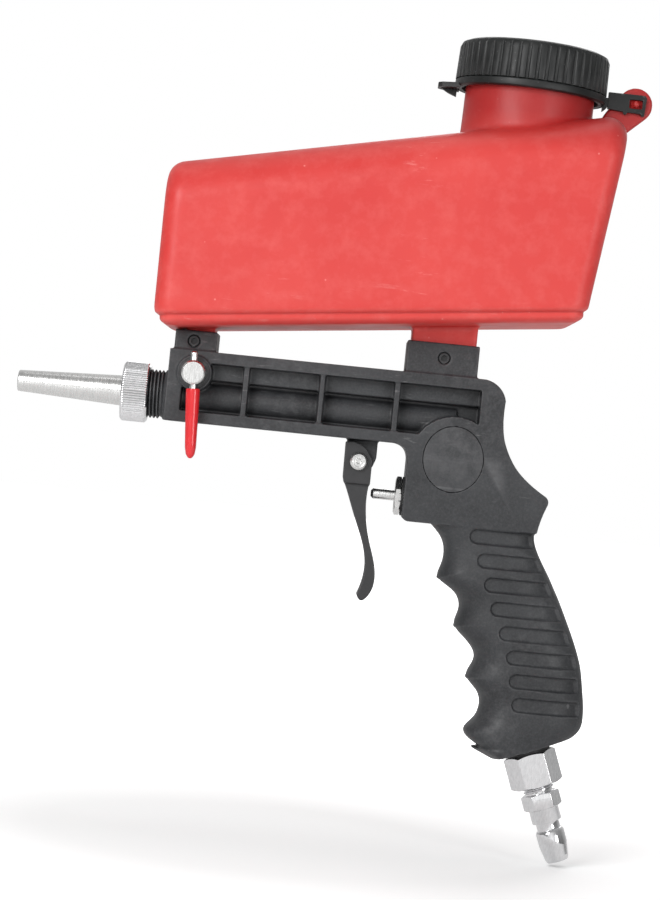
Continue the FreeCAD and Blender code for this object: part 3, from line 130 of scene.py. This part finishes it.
def shade_smooth(thing, angle=180.0):
    """Smooth shading, with edges sharper than the angle kept crisp."""
    mesh = thing.data
    mesh.polygons.foreach_set("use_smooth", [True] * len(mesh.polygons))
    if angle < 180:
        mesh.set_sharp_from_angle(angle=math.radians(angle))
    mesh.update()


def welded_copy(node, name):
    """A copy of a CAD node's mesh with its split corners joined."""
    mesh = nodes[node].data.copy()
    thing = new_object(name, mesh)
    form = bmesh.new()
    form.from_mesh(mesh)
    bmesh.ops.remove_doubles(form, verts=form.verts, dist=WELD_DISTANCE)
    form.to_mesh(mesh)
    form.free()
    mesh.materials.clear()
    return thing


def remeshed(thing, voxel, rounds):
    """Voxel remesh and smooth, which rounds every edge as a moulding's edges are."""
    remesh = thing.modifiers.new("remesh", "REMESH")
    remesh.mode = "VOXEL"
    remesh.voxel_size = voxel
    smooth = thing.modifiers.new("smooth", "SMOOTH")
    smooth.factor = 0.5
    smooth.iterations = rounds
    applied(thing)
    shade_smooth(thing)


def thinned(thing, ratio):
    """Collapse faces that the surface doesn't need."""
    decimate = thing.modifiers.new("thin", "DECIMATE")
    decimate.ratio = ratio
    applied(thing)
    shade_smooth(thing)


def smooth_where(thing, chosen, rounds):
    """Smooth only the points that a test picks."""
    group = thing.vertex_groups.new(name="chosen")
    picked = [vertex.index for vertex in thing.data.vertices if chosen(vertex.co)]
    group.add(picked, 1.0, "REPLACE")
    smooth = thing.modifiers.new("local", "SMOOTH")
    smooth.vertex_group = group.name
    smooth.factor = 0.5
    smooth.iterations = rounds
    applied(thing)
    thing.vertex_groups.clear()


def shift_all(thing, amount):
    """Move each point along its normal by amount(point, normal)."""
    normals = [vertex.normal.copy() for vertex in thing.data.vertices]
    for vertex, normal in zip(thing.data.vertices, normals):
        vertex.co += normal * amount(vertex.co, normal)


def polar(point, origin, axis):
    """How far a point lies along an axis, and its offset square to the axis."""
    offset = point - origin
    along = offset.dot(axis)
    return along, offset - axis * along


def narrow_band(thing, origin, axis, low, high, radius, target):
    """Shrink a cylinder's wall to a smaller radius between two heights of its axis."""
    slack = 0.12 * MM
    for vertex in thing.data.vertices:
        along, across = polar(vertex.co, origin, axis)
        if low <= along <= high and abs(across.length - radius) < slack:
            vertex.co = origin + axis * along + across * (target / radius)


def axis_matrix(origin, axis):
    """The matrix that puts local X along an axis through a point."""
    turn = X_AXIS.rotation_difference(axis)
    return Matrix.Translation(origin) @ turn.to_matrix().to_4x4()


def clean(thing):
    """Join points that meet on the axis and turn every face outwards."""
    form = bmesh.new()
    form.from_mesh(thing.data)
    bmesh.ops.remove_doubles(form, verts=form.verts, dist=0.001 * MM)
    bmesh.ops.dissolve_degenerate(form, edges=form.edges, dist=0.0005 * MM)
    bmesh.ops.recalc_face_normals(form, faces=form.faces)
    form.to_mesh(thing.data)
    form.free()


def mesh_object(name, points, faces, origin, axis, crisp):
    """A mesh built along local X, moved onto an axis."""
    mesh = bpy.data.meshes.new(name)
    mesh.from_pydata(points, [], faces)
    mesh.transform(axis_matrix(origin, axis))
    thing = new_object(name, mesh)
    clean(thing)
    shade_smooth(thing, crisp)
    return thing


def lathe(name, profile, origin, axis, steps, radius_at, crisp):
    """Turn (axial, radius) points about an axis; radius_at changes a radius with the angle."""
    points = []
    faces = []
    count = len(profile)
    for step in range(steps):
        angle = 2 * math.pi * step / steps
        for index, (along, radius) in enumerate(profile):
            reach = radius_at(index, radius, angle)
            points.append((along, reach * math.cos(angle), reach * math.sin(angle)))
    for step in range(steps):
        after = (step + 1) % steps
        for index in range(count):
            following = (index + 1) % count
            faces.append((step * count + index, step * count + following,
                          after * count + following, after * count + index))
    return mesh_object(name, points, faces, origin, axis, crisp)


def helix_thread(name, origin, axis, start, end, pitch, crest, root, flat=0.14):
    """A screw thread as one closed ridge that winds along an axis and fades at both ends."""
    steps = 90
    fade_steps = steps * 0.35
    sink = 0.5 * MM
    total = int((end - start) / pitch * steps)
    foot = 0.47
    section = [(-foot, 0.0), (-flat, 1.0), (flat, 1.0), (foot, 0.0)]
    points = []
    faces = []
    for step in range(total + 1):
        angle = 2 * math.pi * step / steps
        along = start + pitch * step / steps
        fade = min(1.0, step / fade_steps, (total - step) / fade_steps)
        height = (crest - root) * fade
        ring = [(shift * pitch, root + height * rise) for shift, rise in section]
        ring += [(foot * pitch, root - sink), (-foot * pitch, root - sink)]
        for shift, radius in ring:
            points.append((along + shift, radius * math.cos(angle), radius * math.sin(angle)))
    width = len(section) + 2
    for step in range(total):
        for index in range(width):
            following = (index + 1) % width
            faces.append((step * width + index, step * width + following,
                          (step + 1) * width + following, (step + 1) * width + index))
    faces.append(tuple(range(width)))
    faces.append(tuple(total * width + index for index in reversed(range(width))))
    return mesh_object(name, points, faces, origin, axis, 50.0)


def bevel_node(node, width):
    """Give a CAD node's sharp edges a small bevel without touching its mesh."""
    thing = nodes[node]
    weld = thing.modifiers.new("weld", "WELD")
    weld.merge_threshold = WELD_DISTANCE
    bevel = thing.modifiers.new("bevel", "BEVEL")
    bevel.width = width
    bevel.segments = BEVEL_SEGMENTS
    bevel.limit_method = "ANGLE"
    bevel.angle_limit = BEVEL_ANGLE
    bevel.use_clamp_overlap = True


# ---------------------------------------------------------------- material helpers
def maths_node(tree, operation, first, second):
    """A maths node on sockets or numbers."""
    node = tree.nodes.new("ShaderNodeMath")
    node.operation = operation
    for value, socket in ((first, node.inputs[0]), (second, node.inputs[1])):
        if isinstance(value, (int, float)):
            socket.default_value = value
        else:
            tree.links.new(value, socket)
    return node.outputs[0]


class Shader:
    """A small builder for node materials."""

    def __init__(self, name):
        self.material = bpy.data.materials.new(name)
        self.material.use_nodes = True
        self.tree = self.material.node_tree
        self.surface = self.tree.nodes["Principled BSDF"]
        self.place = self.add("ShaderNodeTexCoord").outputs["Object"]

    def add(self, kind, **values):
        """A node with its properties set."""
        node = self.tree.nodes.new(kind)
        for key, value in values.items():
            setattr(node, key, value)
        return node

    def link(self, source, target):
        """Join two sockets."""
        self.tree.links.new(source, target)

    def set(self, **values):
        """Set inputs of the surface shader; underscores stand for spaces."""
        for key, value in values.items():
            self.surface.inputs[key.replace("_", " ")].default_value = value

    def mapped(self, stretch=(1, 1, 1), turn=0.0):
        """Object coordinates, turned about Y and stretched."""
        mapping = self.add("ShaderNodeMapping")
        mapping.inputs["Rotation"].default_value = (0, math.radians(turn), 0)
        mapping.inputs["Scale"].default_value = stretch
        self.link(self.place, mapping.inputs["Vector"])
        return mapping.outputs["Vector"]

    def noise(self, scale, detail=4.0, roughness=0.55, stretch=(1, 1, 1), turn=0.0):
        """Noise in the object's own space, in cycles per metre."""
        node = self.add("ShaderNodeTexNoise")
        node.inputs["Scale"].default_value = scale
        node.inputs["Detail"].default_value = detail
        node.inputs["Roughness"].default_value = roughness
        self.link(self.mapped(stretch, turn), node.inputs["Vector"])
        return node.outputs["Fac"]

    def specks(self, scale, reach):
        """Small round specks: white near the middle of some cells."""
        node = self.add("ShaderNodeTexVoronoi")
        node.inputs["Scale"].default_value = scale
        self.link(self.place, node.inputs["Vector"])
        return self.ramp(node.outputs["Distance"], [(0.0, 1.0), (reach, 0.0)])

    def ramp(self, source, stops):
        """Map a value through grey levels: a list of (position, grey)."""
        node = self.add("ShaderNodeValToRGB")
        line = node.color_ramp
        while len(line.elements) < len(stops):
            line.elements.new(0.5)
        for element, (position, grey) in zip(line.elements, stops):
            element.position = position
            element.color = (grey, grey, grey, 1)
        self.link(source, node.inputs["Fac"])
        return node.outputs["Color"]

    def mix(self, factor, first, second):
        """Mix two colours (tuples or sockets) by a socket."""
        node = self.add("ShaderNodeMix", data_type="RGBA")
        self.link(factor, node.inputs[0])
        for value, socket in ((first, node.inputs[6]), (second, node.inputs[7])):
            if isinstance(value, tuple):
                socket.default_value = (*value, 1)
            else:
                self.link(value, socket)
        return node.outputs[2]

    def math(self, operation, first, second):
        """A maths node in this material."""
        return maths_node(self.tree, operation, first, second)

    def edges(self, low, high):
        """White on convex edges, black elsewhere."""
        point = self.add("ShaderNodeNewGeometry").outputs["Pointiness"]
        return self.ramp(point, [(low, 0.0), (high, 1.0)])

    def creases(self, low, high):
        """White in concave creases, black elsewhere."""
        point = self.add("ShaderNodeNewGeometry").outputs["Pointiness"]
        return self.ramp(point, [(low, 1.0), (high, 0.0)])

    def recess_shade(self, reach, strength):
        """White in corners and grooves that are narrower than the reach, black in the open: the mask of painted
        shade.
        """
        node = self.add("ShaderNodeAmbientOcclusion", samples=6)
        node.inputs["Distance"].default_value = reach
        return self.ramp(node.outputs["AO"], [(0.35, strength), (0.85, 0.0)])

    def colour(self, source):
        """Drive the base colour."""
        self.link(source, self.surface.inputs["Base Color"])

    def roughness(self, source, low, high):
        """Drive the roughness between two values by a noise."""
        self.link(self.ramp(source, [(0.3, low), (0.7, high)]), self.surface.inputs["Roughness"])

    def bump(self, layers):
        """Stack bumps: a list of (height socket, depth in metres, strength)."""
        normal = None
        for height, depth, strength in layers:
            node = self.add("ShaderNodeBump")
            node.inputs["Strength"].default_value = strength
            node.inputs["Distance"].default_value = depth
            self.link(height, node.inputs["Height"])
            if normal:
                self.link(normal, node.inputs["Normal"])
            normal = node.outputs["Normal"]
        self.link(normal, self.surface.inputs["Normal"])


def scuffs(shader, scale, patch_scale):
    """Thin scratches that run two ways and show only in patches."""
    patch = shader.ramp(shader.noise(patch_scale, 3), [(0.52, 0.0), (0.66, 1.0)])
    marks = 0
    for turn in (12.0, -38.0):
        streaks = shader.noise(scale, 5, 0.7, (0.16, 1.0, 1.0), turn)
        line = shader.ramp(streaks, [(0.61, 0.0), (0.72, 1.0)])
        marks = shader.math("MAXIMUM", marks, line)
    return shader.math("MULTIPLY", marks, patch)


def body_plastic():
    """Black glass-filled nylon: grain, cloudy rubs, scratches, pale edges and painted shade in its corners and
    grooves.
    """
    shader = Shader("body_plastic")
    cloud = shader.ramp(shader.noise(34, 7, 0.6), [(0.38, 0.0), (0.68, 1.0)])
    base = shader.mix(cloud, (0.018, 0.019, 0.021), (0.036, 0.038, 0.041))
    grain = shader.ramp(shader.noise(1100, 4, 0.7), [(0.42, 0.0), (0.72, 1.0)])
    base = shader.mix(shader.math("MULTIPLY", grain, 0.26), base, (0.095, 0.095, 0.100))
    rubbed = shader.ramp(shader.noise(300, 6, 0.75), [(0.46, 0.0), (0.75, 1.0)])
    rubbed = shader.math("MULTIPLY", rubbed, shader.ramp(shader.noise(22, 3), [(0.48, 0.0), (0.66, 1.0)]))
    base = shader.mix(shader.math("MULTIPLY", rubbed, 0.30), base, (0.15, 0.15, 0.155))
    base = shader.mix(shader.math("MULTIPLY", scuffs(shader, 520, 30), 0.5), base, (0.24, 0.24, 0.24))
    wear = shader.ramp(shader.noise(170, 5), [(0.36, 0.15), (0.66, 1.0)])
    wear = shader.math("MULTIPLY", shader.edges(0.512, 0.58), wear)
    base = shader.mix(shader.math("MULTIPLY", wear, 0.55), base, (0.16, 0.16, 0.165))
    # Painted shade: near-black in corners and grooves narrower than 4 mm, where little light reaches.
    base = shader.mix(shader.recess_shade(0.004, 0.85), base, (0.004, 0.004, 0.005))
    shader.colour(base)
    shader.roughness(shader.noise(90, 5), 0.42, 0.60)
    shader.set(Specular_IOR_Level=0.42)
    shader.bump([
        (shader.noise(2400, 3, 0.6), 0.00005, 0.5),
        (shader.noise(210, 4), 0.00012, 0.25),
    ])
    return shader.material


def hopper_plastic():
    """Red blow-moulded polyethylene: a little translucent, with pale rubs and small stars, a painted highlight on
    its edges, and painted shade in its creases and on the neck under the cap.
    """
    shader = Shader("hopper_plastic")
    cloud = shader.ramp(shader.noise(15, 4), [(0.35, 0.0), (0.7, 1.0)])
    base = shader.mix(cloud, (0.60, 0.040, 0.036), (0.66, 0.058, 0.050))
    mottle = shader.ramp(shader.noise(130, 5, 0.65), [(0.45, 0.0), (0.75, 1.0)])
    base = shader.mix(shader.math("MULTIPLY", mottle, 0.30), base, (0.74, 0.15, 0.135))
    base = shader.mix(shader.math("MULTIPLY", scuffs(shader, 360, 16), 0.42), base, (0.85, 0.42, 0.40))
    stars = shader.math("MULTIPLY", shader.specks(95, 0.05), 0.55)
    base = shader.mix(stars, base, (0.90, 0.45, 0.42))
    # Painted highlight: a paler red on every convex edge.
    base = shader.mix(shader.math("MULTIPLY", shader.edges(0.512, 0.57), 0.25), base, (0.80, 0.24, 0.22))
    # Painted shade: a dark red in the concave creases.
    crease_shade = shader.math("MULTIPLY", shader.creases(0.44, 0.493), 0.75)
    base = shader.mix(crease_shade, base, (0.24, 0.006, 0.006))
    height = shader.add("ShaderNodeSeparateXYZ")
    shader.link(shader.place, height.inputs[0])
    in_shade = shader.ramp(height.outputs["Z"], [(0.112, 0.0), (0.128, 0.8)])
    base = shader.mix(in_shade, base, (0.31, 0.007, 0.008))
    shader.colour(base)
    shader.roughness(shader.noise(60, 5), 0.38, 0.52)
    shader.set(Specular_IOR_Level=0.40, Subsurface_Weight=0.12, Subsurface_Scale=0.003,
               Subsurface_Radius=(1.0, 0.2, 0.15))
    shader.bump([
        (shader.noise(26, 3), 0.0008, 0.30),
        (shader.noise(900, 4), 0.00004, 0.35),
    ])
    return shader.material


def cap_plastic():
    """Black polypropylene of the cap, ring and strap."""
    shader = Shader("cap_plastic")
    cloud = shader.ramp(shader.noise(70, 5), [(0.4, 0.0), (0.7, 1.0)])
    base = shader.mix(cloud, (0.006, 0.007, 0.007), (0.017, 0.018, 0.018))
    base = shader.mix(shader.math("MULTIPLY", shader.specks(420, 0.10), 0.45), base, (0.30, 0.30, 0.30))
    # Painted highlight: a lighter grey on every convex edge.
    base = shader.mix(shader.math("MULTIPLY", shader.edges(0.52, 0.62), 0.35), base, (0.11, 0.11, 0.11))
    shader.colour(base)
    shader.roughness(shader.noise(120, 4), 0.36, 0.52)
    shader.set(Specular_IOR_Level=0.36)
    shader.bump([(shader.noise(1500, 3), 0.00003, 0.4)])
    return shader.material


def metal(name, colour, rough, grain, stretch, depth):
    """A turned or plated metal; the stretch sets which way its fine marks run."""
    shader = Shader(name)
    marks = shader.noise(grain, 4, 0.6, stretch)
    tone = shader.ramp(marks, [(0.3, 0.0), (0.7, 1.0)])
    shader.colour(shader.mix(tone, tuple(value * 0.82 for value in colour), colour))
    shader.roughness(marks, rough * 0.75, rough * 1.35)
    shader.set(Metallic=1.0)
    shader.bump([(marks, depth, 0.6)])
    return shader.material


def soft_black():
    """Rubber of the washers and seals."""
    shader = Shader("soft_black")
    shader.colour(shader.mix(shader.noise(300, 4), (0.012, 0.012, 0.012), (0.025, 0.025, 0.026)))
    shader.roughness(shader.noise(500, 4), 0.55, 0.75)
    shader.bump([(shader.noise(3000, 3), 0.00003, 0.5)])
    return shader.material


def sleeve_red():
    """Glossy dipped PVC of the lever's sleeve."""
    shader = Shader("sleeve_red")
    shader.colour(shader.mix(shader.noise(160, 3), (0.62, 0.010, 0.016), (0.72, 0.022, 0.028)))
    shader.roughness(shader.noise(300, 3), 0.18, 0.28)
    shader.set(Subsurface_Weight=0.10, Subsurface_Scale=0.002, Coat_Weight=0.3, Coat_Roughness=0.12)
    shader.bump([(shader.noise(260, 2), 0.00012, 0.5)])
    return shader.material


def coated_black(name, rub):
    """Black paint or oxide on metal, rubbed bright at its edges."""
    shader = Shader(name)
    base = shader.mix(shader.noise(120, 5), (0.014, 0.014, 0.015), (0.030, 0.030, 0.032))
    wear = shader.ramp(shader.noise(500, 4), [(0.42, 0.0), (0.60, 1.0)])
    wear = shader.math("MULTIPLY", shader.edges(0.52, 0.60), wear)
    shader.colour(shader.mix(shader.math("MULTIPLY", wear, rub), base, (0.28, 0.28, 0.29)))
    shader.roughness(shader.noise(300, 4), 0.34, 0.50)
    shader.bump([(shader.noise(1800, 3), 0.00004, 0.5)])
    return shader.material


MATERIALS = {
    "body_plastic": body_plastic(),
    "hopper_plastic": hopper_plastic(),
    "cap_plastic": cap_plastic(),
    "soft_black": soft_black(),
    "black_steel": coated_black("black_steel", 0.3),
    "turned_steel": metal("turned_steel", (0.80, 0.80, 0.79), 0.26, 300, (9.0, 1.0, 1.0), 0.00001),
    "chrome_steel": metal("chrome_steel", (0.84, 0.84, 0.85), 0.10, 500, (3.0, 1.0, 1.0), 0.000004),
    "sleeve_red": sleeve_red(),
    "brass": metal("brass", (0.72, 0.52, 0.24), 0.28, 260, (12.0, 1.0, 1.0), 0.00002),
    "trigger_black": coated_black("trigger_black", 0.6),
}


def finish_cad_nodes():
    """Every CAD node takes the material of its own slot."""
    slots = {part["node"]: part["material_slot"] for part in frame["record"]["subparts"]}
    for node, thing in nodes.items():
        if not thing.material_slots:
            thing.data.materials.append(None)
        for holder in thing.material_slots:
            holder.material = MATERIALS[slots[node]]


def new_piece(thing, body, slot, *replaced):
    """Finish a new piece: material, the body it rides on and the nodes it stands for."""
    thing.data.materials.clear()
    thing.data.materials.append(MATERIALS[slot])
    if body:
        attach(thing, body)
    if replaced:
        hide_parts(*replaced)


# ---------------------------------------------------------------- gun body
def raise_finger_creases(skin):
    """The short ridges that run back from the peaks between the finger hollows."""
    ridge_height = 0.55 * MM
    ridge_width = 0.7 * MM
    ridge_length = 10 * MM
    ridges = ((131.8, -63.6, 0.34), (140.0, -83.0, 0.19), (147.4, -103.3, 0.10))

    def ridge_shift(point, normal):
        total = 0.0
        for start_x, start_z, slope in ridges:
            along = point.x - start_x * MM
            off = point.z - start_z * MM - slope * along
            if -0.2 * ridge_length < along < ridge_length and abs(off) < 4 * ridge_width:
                fade = 1 - max(0.0, along / ridge_length)
                total += ridge_height * fade * math.exp(-(off / ridge_width) ** 2)
        return total

    shift_all(skin, ridge_shift)


def body_skin():
    """The moulded body with rounded edges and a real thread on its nose."""
    skin = welded_copy("gun_body", "gun_body_skin")
    thread_end = 11.5 * MM
    narrow_band(skin, ORIGIN, X_AXIS, -MM, thread_end + 0.2 * MM, NOSE_CREST, NOSE_ROOT)
    remeshed(skin, 0.5 * MM, 2)
    raise_finger_creases(skin)
    thinned(skin, 0.35)
    new_piece(skin, "gun", "body_plastic", "gun_body")
    thread = helix_thread("nose_thread", ORIGIN, X_AXIS, MM, thread_end - 0.5 * MM,
                          NOSE_PITCH, NOSE_CREST, NOSE_ROOT)
    new_piece(thread, "gun", "body_plastic")


# ---------------------------------------------------------------- hopper
def press_lip(skin):
    """The pressed crease that runs round the hopper just above its bottom edge."""
    bottom_at_origin = 26.2 * MM
    bottom_rise = 0.1061
    crease_height = 3.8 * MM
    crease_depth = 1.2 * MM
    crease_width = 1.1 * MM

    def lip_shift(point, normal):
        height = point.z - bottom_at_origin - bottom_rise * point.x
        if normal.z < -0.8 or not 0 < height < 3 * crease_height:
            return 0.0
        return -crease_depth * math.exp(-((height - crease_height) / crease_width) ** 2)

    shift_all(skin, lip_shift)


def hopper_skin():
    """The blow-moulded hopper with the thread of its neck."""
    skin = welded_copy("hopper", "hopper_skin")
    low = 3.8 * MM
    high = 13.4 * MM
    run_out = 1.5 * MM
    foot_low = -24 * MM
    foot_high = -8 * MM
    foot_inside = 24.5 * MM
    foot_outside = 33 * MM
    narrow_band(skin, NECK_POINT, NECK_AXIS, low, high, NECK_BAND, NECK_WALL)
    remeshed(skin, 0.9 * MM, 5)

    def at_neck_foot(point):
        along, across = polar(point, NECK_POINT, NECK_AXIS)
        return foot_low < along < foot_high and foot_inside < across.length < foot_outside

    smooth_where(skin, at_neck_foot, 20)
    press_lip(skin)
    thinned(skin, 0.5)
    new_piece(skin, "gun", "hopper_plastic", "hopper")
    thread = helix_thread("neck_thread", NECK_POINT, NECK_AXIS, low + run_out, high - run_out,
                          NECK_PITCH, NECK_CREST, NECK_WALL, 0.12)
    new_piece(thread, "gun", "hopper_plastic")


# ---------------------------------------------------------------- nozzle, nut and plug
def knurled_nut():
    """The nozzle nut with a straight knurl between two plain chamfers."""
    low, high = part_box("nozzle_nut")
    front = low[0]
    back = high[0]
    outer = high[2]
    opening = 8.5 * MM
    thread = 10.06 * MM
    lip = 2.0 * MM
    chamfer = 0.9 * MM
    teeth = 80
    depth = 0.28 * MM
    knurled = (3, 4, 5, 6)
    profile = [
        (front, opening), (front, outer - chamfer), (front + chamfer * 0.6, outer - 0.3 * MM),
        (front + chamfer, outer), (front + chamfer * 1.3, outer), (back - chamfer * 1.3, outer),
        (back - chamfer, outer), (back - chamfer * 0.6, outer - 0.3 * MM), (back, outer - chamfer),
        (back, thread), (front + lip, thread), (front + lip, opening),
    ]

    def knurl(index, radius, angle):
        if index not in knurled:
            return radius
        return radius - depth * abs(math.sin(angle * teeth / 2))

    nut = lathe("nozzle_nut_knurled", profile, ORIGIN, X_AXIS, teeth * 6, knurl, 25.0)
    new_piece(nut, "nut_mover", "chrome_steel", "nozzle_nut")


def plug_thread():
    """The plug with a cut thread where it enters the fitting."""
    plug = welded_copy("air_plug", "air_plug_skin")
    collar_middle = 26.45 * MM
    band_start = 3.9 * MM
    band_end = 17.7 * MM
    thread_start = 5.5 * MM
    thread_end = 16.6 * MM
    origin = PLUG_POINT - PLUG_AXIS * collar_middle
    narrow_band(plug, origin, PLUG_AXIS, band_start, band_end, PLUG_CREST, PLUG_ROOT)
    bevel = plug.modifiers.new("bevel", "BEVEL")
    bevel.width = 0.2 * MM
    bevel.segments = BEVEL_SEGMENTS
    bevel.angle_limit = BEVEL_ANGLE
    applied(plug)
    shade_smooth(plug, 28)
    new_piece(plug, "gun", "chrome_steel", "air_plug")
    thread = helix_thread("air_plug_thread", origin, PLUG_AXIS, thread_start, thread_end,
                          PLUG_PITCH, PLUG_CREST, PLUG_ROOT, 0.08)
    new_piece(thread, "gun", "chrome_steel")


# ---------------------------------------------------------------- cap, ring and strap
def strap():
    """The strap with softly rounded edges, on no body, its place baked into its mesh."""
    piece = welded_copy("cap_strap", "cap_strap_soft")
    remeshed(piece, 0.22 * MM, 2)
    thinned(piece, 0.4)
    new_piece(piece, None, "cap_plastic", "cap_strap")
    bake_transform(piece)


def valve_spring():
    """The return spring as a copy of its CAD mesh, on the gun, with a mesh of its own."""
    piece = welded_copy("valve_spring", "valve_spring_coil")
    new_piece(piece, "gun", "turned_steel", "valve_spring")
    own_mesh(piece)


def small_bevels():
    """Broken edges on the parts that keep their CAD mesh."""
    for node, width in (
        ("hopper_cap", 0.25), ("cap_ring", 0.3), ("side_disc_lever_side", 0.2), ("side_disc_far_side", 0.2),
        ("feed_valve_stem", 0.15), ("stem_clip", 0.08), ("lever_rod", 0.1), ("lever_sleeve", 0.25),
        ("nozzle", 0.12), ("trigger_pivot_bolt", 0.12), ("trigger_pivot_nut", 0.12), ("gland_nut", 0.15),
        ("gland_washer", 0.1), ("inlet_fitting", 0.2), ("inlet_washer", 0.2), ("leg_set_screws", 0.08),
        ("valve_pin", 0.1),
    ):
        bevel_node(node, width * MM)


def trigger_skin():
    """The cast trigger with soft edges."""
    skin = welded_copy("trigger", "trigger_skin")
    remeshed(skin, 0.32 * MM, 3)
    thinned(skin, 0.35)
    shift_all(skin, lambda point, normal: -TRIGGER_SHRINK)
    new_piece(skin, "trigger", "trigger_black", "trigger")


# ---------------------------------------------------------------- stage
def add_area(name, place, target, size, power):
    """A soft square light that looks at a point."""
    data = bpy.data.lights.new(name, "AREA")
    data.shape = "SQUARE"
    data.size = size
    data.energy = power
    lamp = bpy.data.objects.new(name, data)
    bpy.context.scene.collection.objects.link(lamp)
    lamp.location = place
    lamp.rotation_mode = "QUATERNION"
    lamp.rotation_quaternion = (Vector(target) - Vector(place)).to_track_quat("-Z", "Y")


def pale_floor(height, middle):
    """A wide, plain, pale floor that fades to white away from the gun."""
    half = 6.0
    corners = [(-half, -half, 0), (half, -half, 0), (half, half, 0), (-half, half, 0)]
    mesh = bpy.data.meshes.new("floor")
    mesh.from_pydata(corners, [], [(0, 1, 2, 3)])
    floor = new_object("floor", mesh)
    floor.location = (middle.x, middle.y, height)
    pale = Shader("pale_floor")
    pale.colour(pale.mix(pale.noise(3, 2), (0.88, 0.88, 0.88), (0.92, 0.92, 0.92)))
    pale.set(Roughness=0.95, Specular_IOR_Level=0.1, Emission_Color=(1, 1, 1, 1))
    distance = pale.add("ShaderNodeVectorMath", operation="LENGTH")
    pale.link(pale.place, distance.inputs[0])
    seen = pale.add("ShaderNodeLightPath").outputs["Is Camera Ray"]
    glow = pale.ramp(distance.outputs["Value"], [(0.10, 0.15), (0.45, 1.0)])
    pale.link(pale.math("MULTIPLY", glow, seen), pale.surface.inputs["Emission Strength"])
    floor.data.materials.append(pale.material)
    floor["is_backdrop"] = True


def pale_world():
    """White to the camera; as light it is soft, darker from below and from behind the camera."""
    world = bpy.data.worlds.new("studio")
    world.use_nodes = True
    tree = world.node_tree
    background = tree.nodes["Background"]

    def maths(operation, first, second):
        return maths_node(tree, operation, first, second)

    split = tree.nodes.new("ShaderNodeSeparateXYZ")
    tree.links.new(tree.nodes.new("ShaderNodeTexCoord").outputs["Generated"], split.inputs[0])
    towards_camera = maths("MAXIMUM", maths("MULTIPLY", split.outputs["Y"], -1.0), 0.0)
    near = maths("MULTIPLY", maths("POWER", towards_camera, 6.0), 0.95)
    ahead = maths("MULTIPLY", maths("MAXIMUM", split.outputs["Y"], 0.0), 0.45)
    above = maths("MULTIPLY", maths("MAXIMUM", split.outputs["Z"], 0.0), 0.25)
    glow = maths("ADD", maths("ADD", maths("ADD", ahead, above), near), 0.17)
    seen = tree.nodes.new("ShaderNodeLightPath").outputs["Is Camera Ray"]
    level = maths("MAXIMUM", glow, seen)
    tree.links.new(level, background.inputs["Strength"])
    background.inputs["Color"].default_value = (1, 1, 1, 1)
    bpy.context.scene.world = world


def studio():
    """Floor, world and soft lights."""
    low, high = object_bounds()
    middle = (low + high) / 2
    pale_floor(low.z - MM, middle)
    pale_world()
    add_area("key", (middle.x - 0.75, -1.25, middle.z + 0.55), middle, 0.7, 14.5)
    add_area("fill", (middle.x + 1.0, -1.2, middle.z + 0.15), middle, 0.5, 5)
    add_area("top", (middle.x + 0.1, 0.1, middle.z + 1.5), middle, 0.6, 2.5)
    add_area("rim", (middle.x + 0.3, 1.4, middle.z + 0.7), middle, 0.7, 4)
    bpy.context.scene.view_settings.view_transform = "Standard"


def camera():
    """A long lens square to the gun's side, with the gun's nose tipped up a little."""
    tilt = math.radians(5.71)
    distance = 1.19
    frame_height = 0.372
    centre_across = 80.0 * MM
    centre_up = -24.0 * MM
    right = Vector((math.cos(tilt), 0, math.sin(tilt)))
    upward = Vector((-math.sin(tilt), 0, math.cos(tilt)))
    back = right.cross(upward)
    data = bpy.data.cameras.new("camera")
    data.sensor_fit = "VERTICAL"
    data.sensor_height = 36.0
    data.lens = data.sensor_height * distance / frame_height
    data.clip_start = 0.05
    data.clip_end = 50
    eye = bpy.data.objects.new("camera", data)
    bpy.context.scene.collection.objects.link(eye)
    turn = Matrix((right, upward, back)).transposed()
    place = right * centre_across + upward * centre_up + back * distance
    eye.matrix_world = Matrix.Translation(place) @ turn.to_4x4()
    bpy.context.scene.camera = eye


finish_cad_nodes()
body_skin()
hopper_skin()
knurled_nut()
plug_thread()
strap()
trigger_skin()
valve_spring()
small_bevels()
studio()
camera()
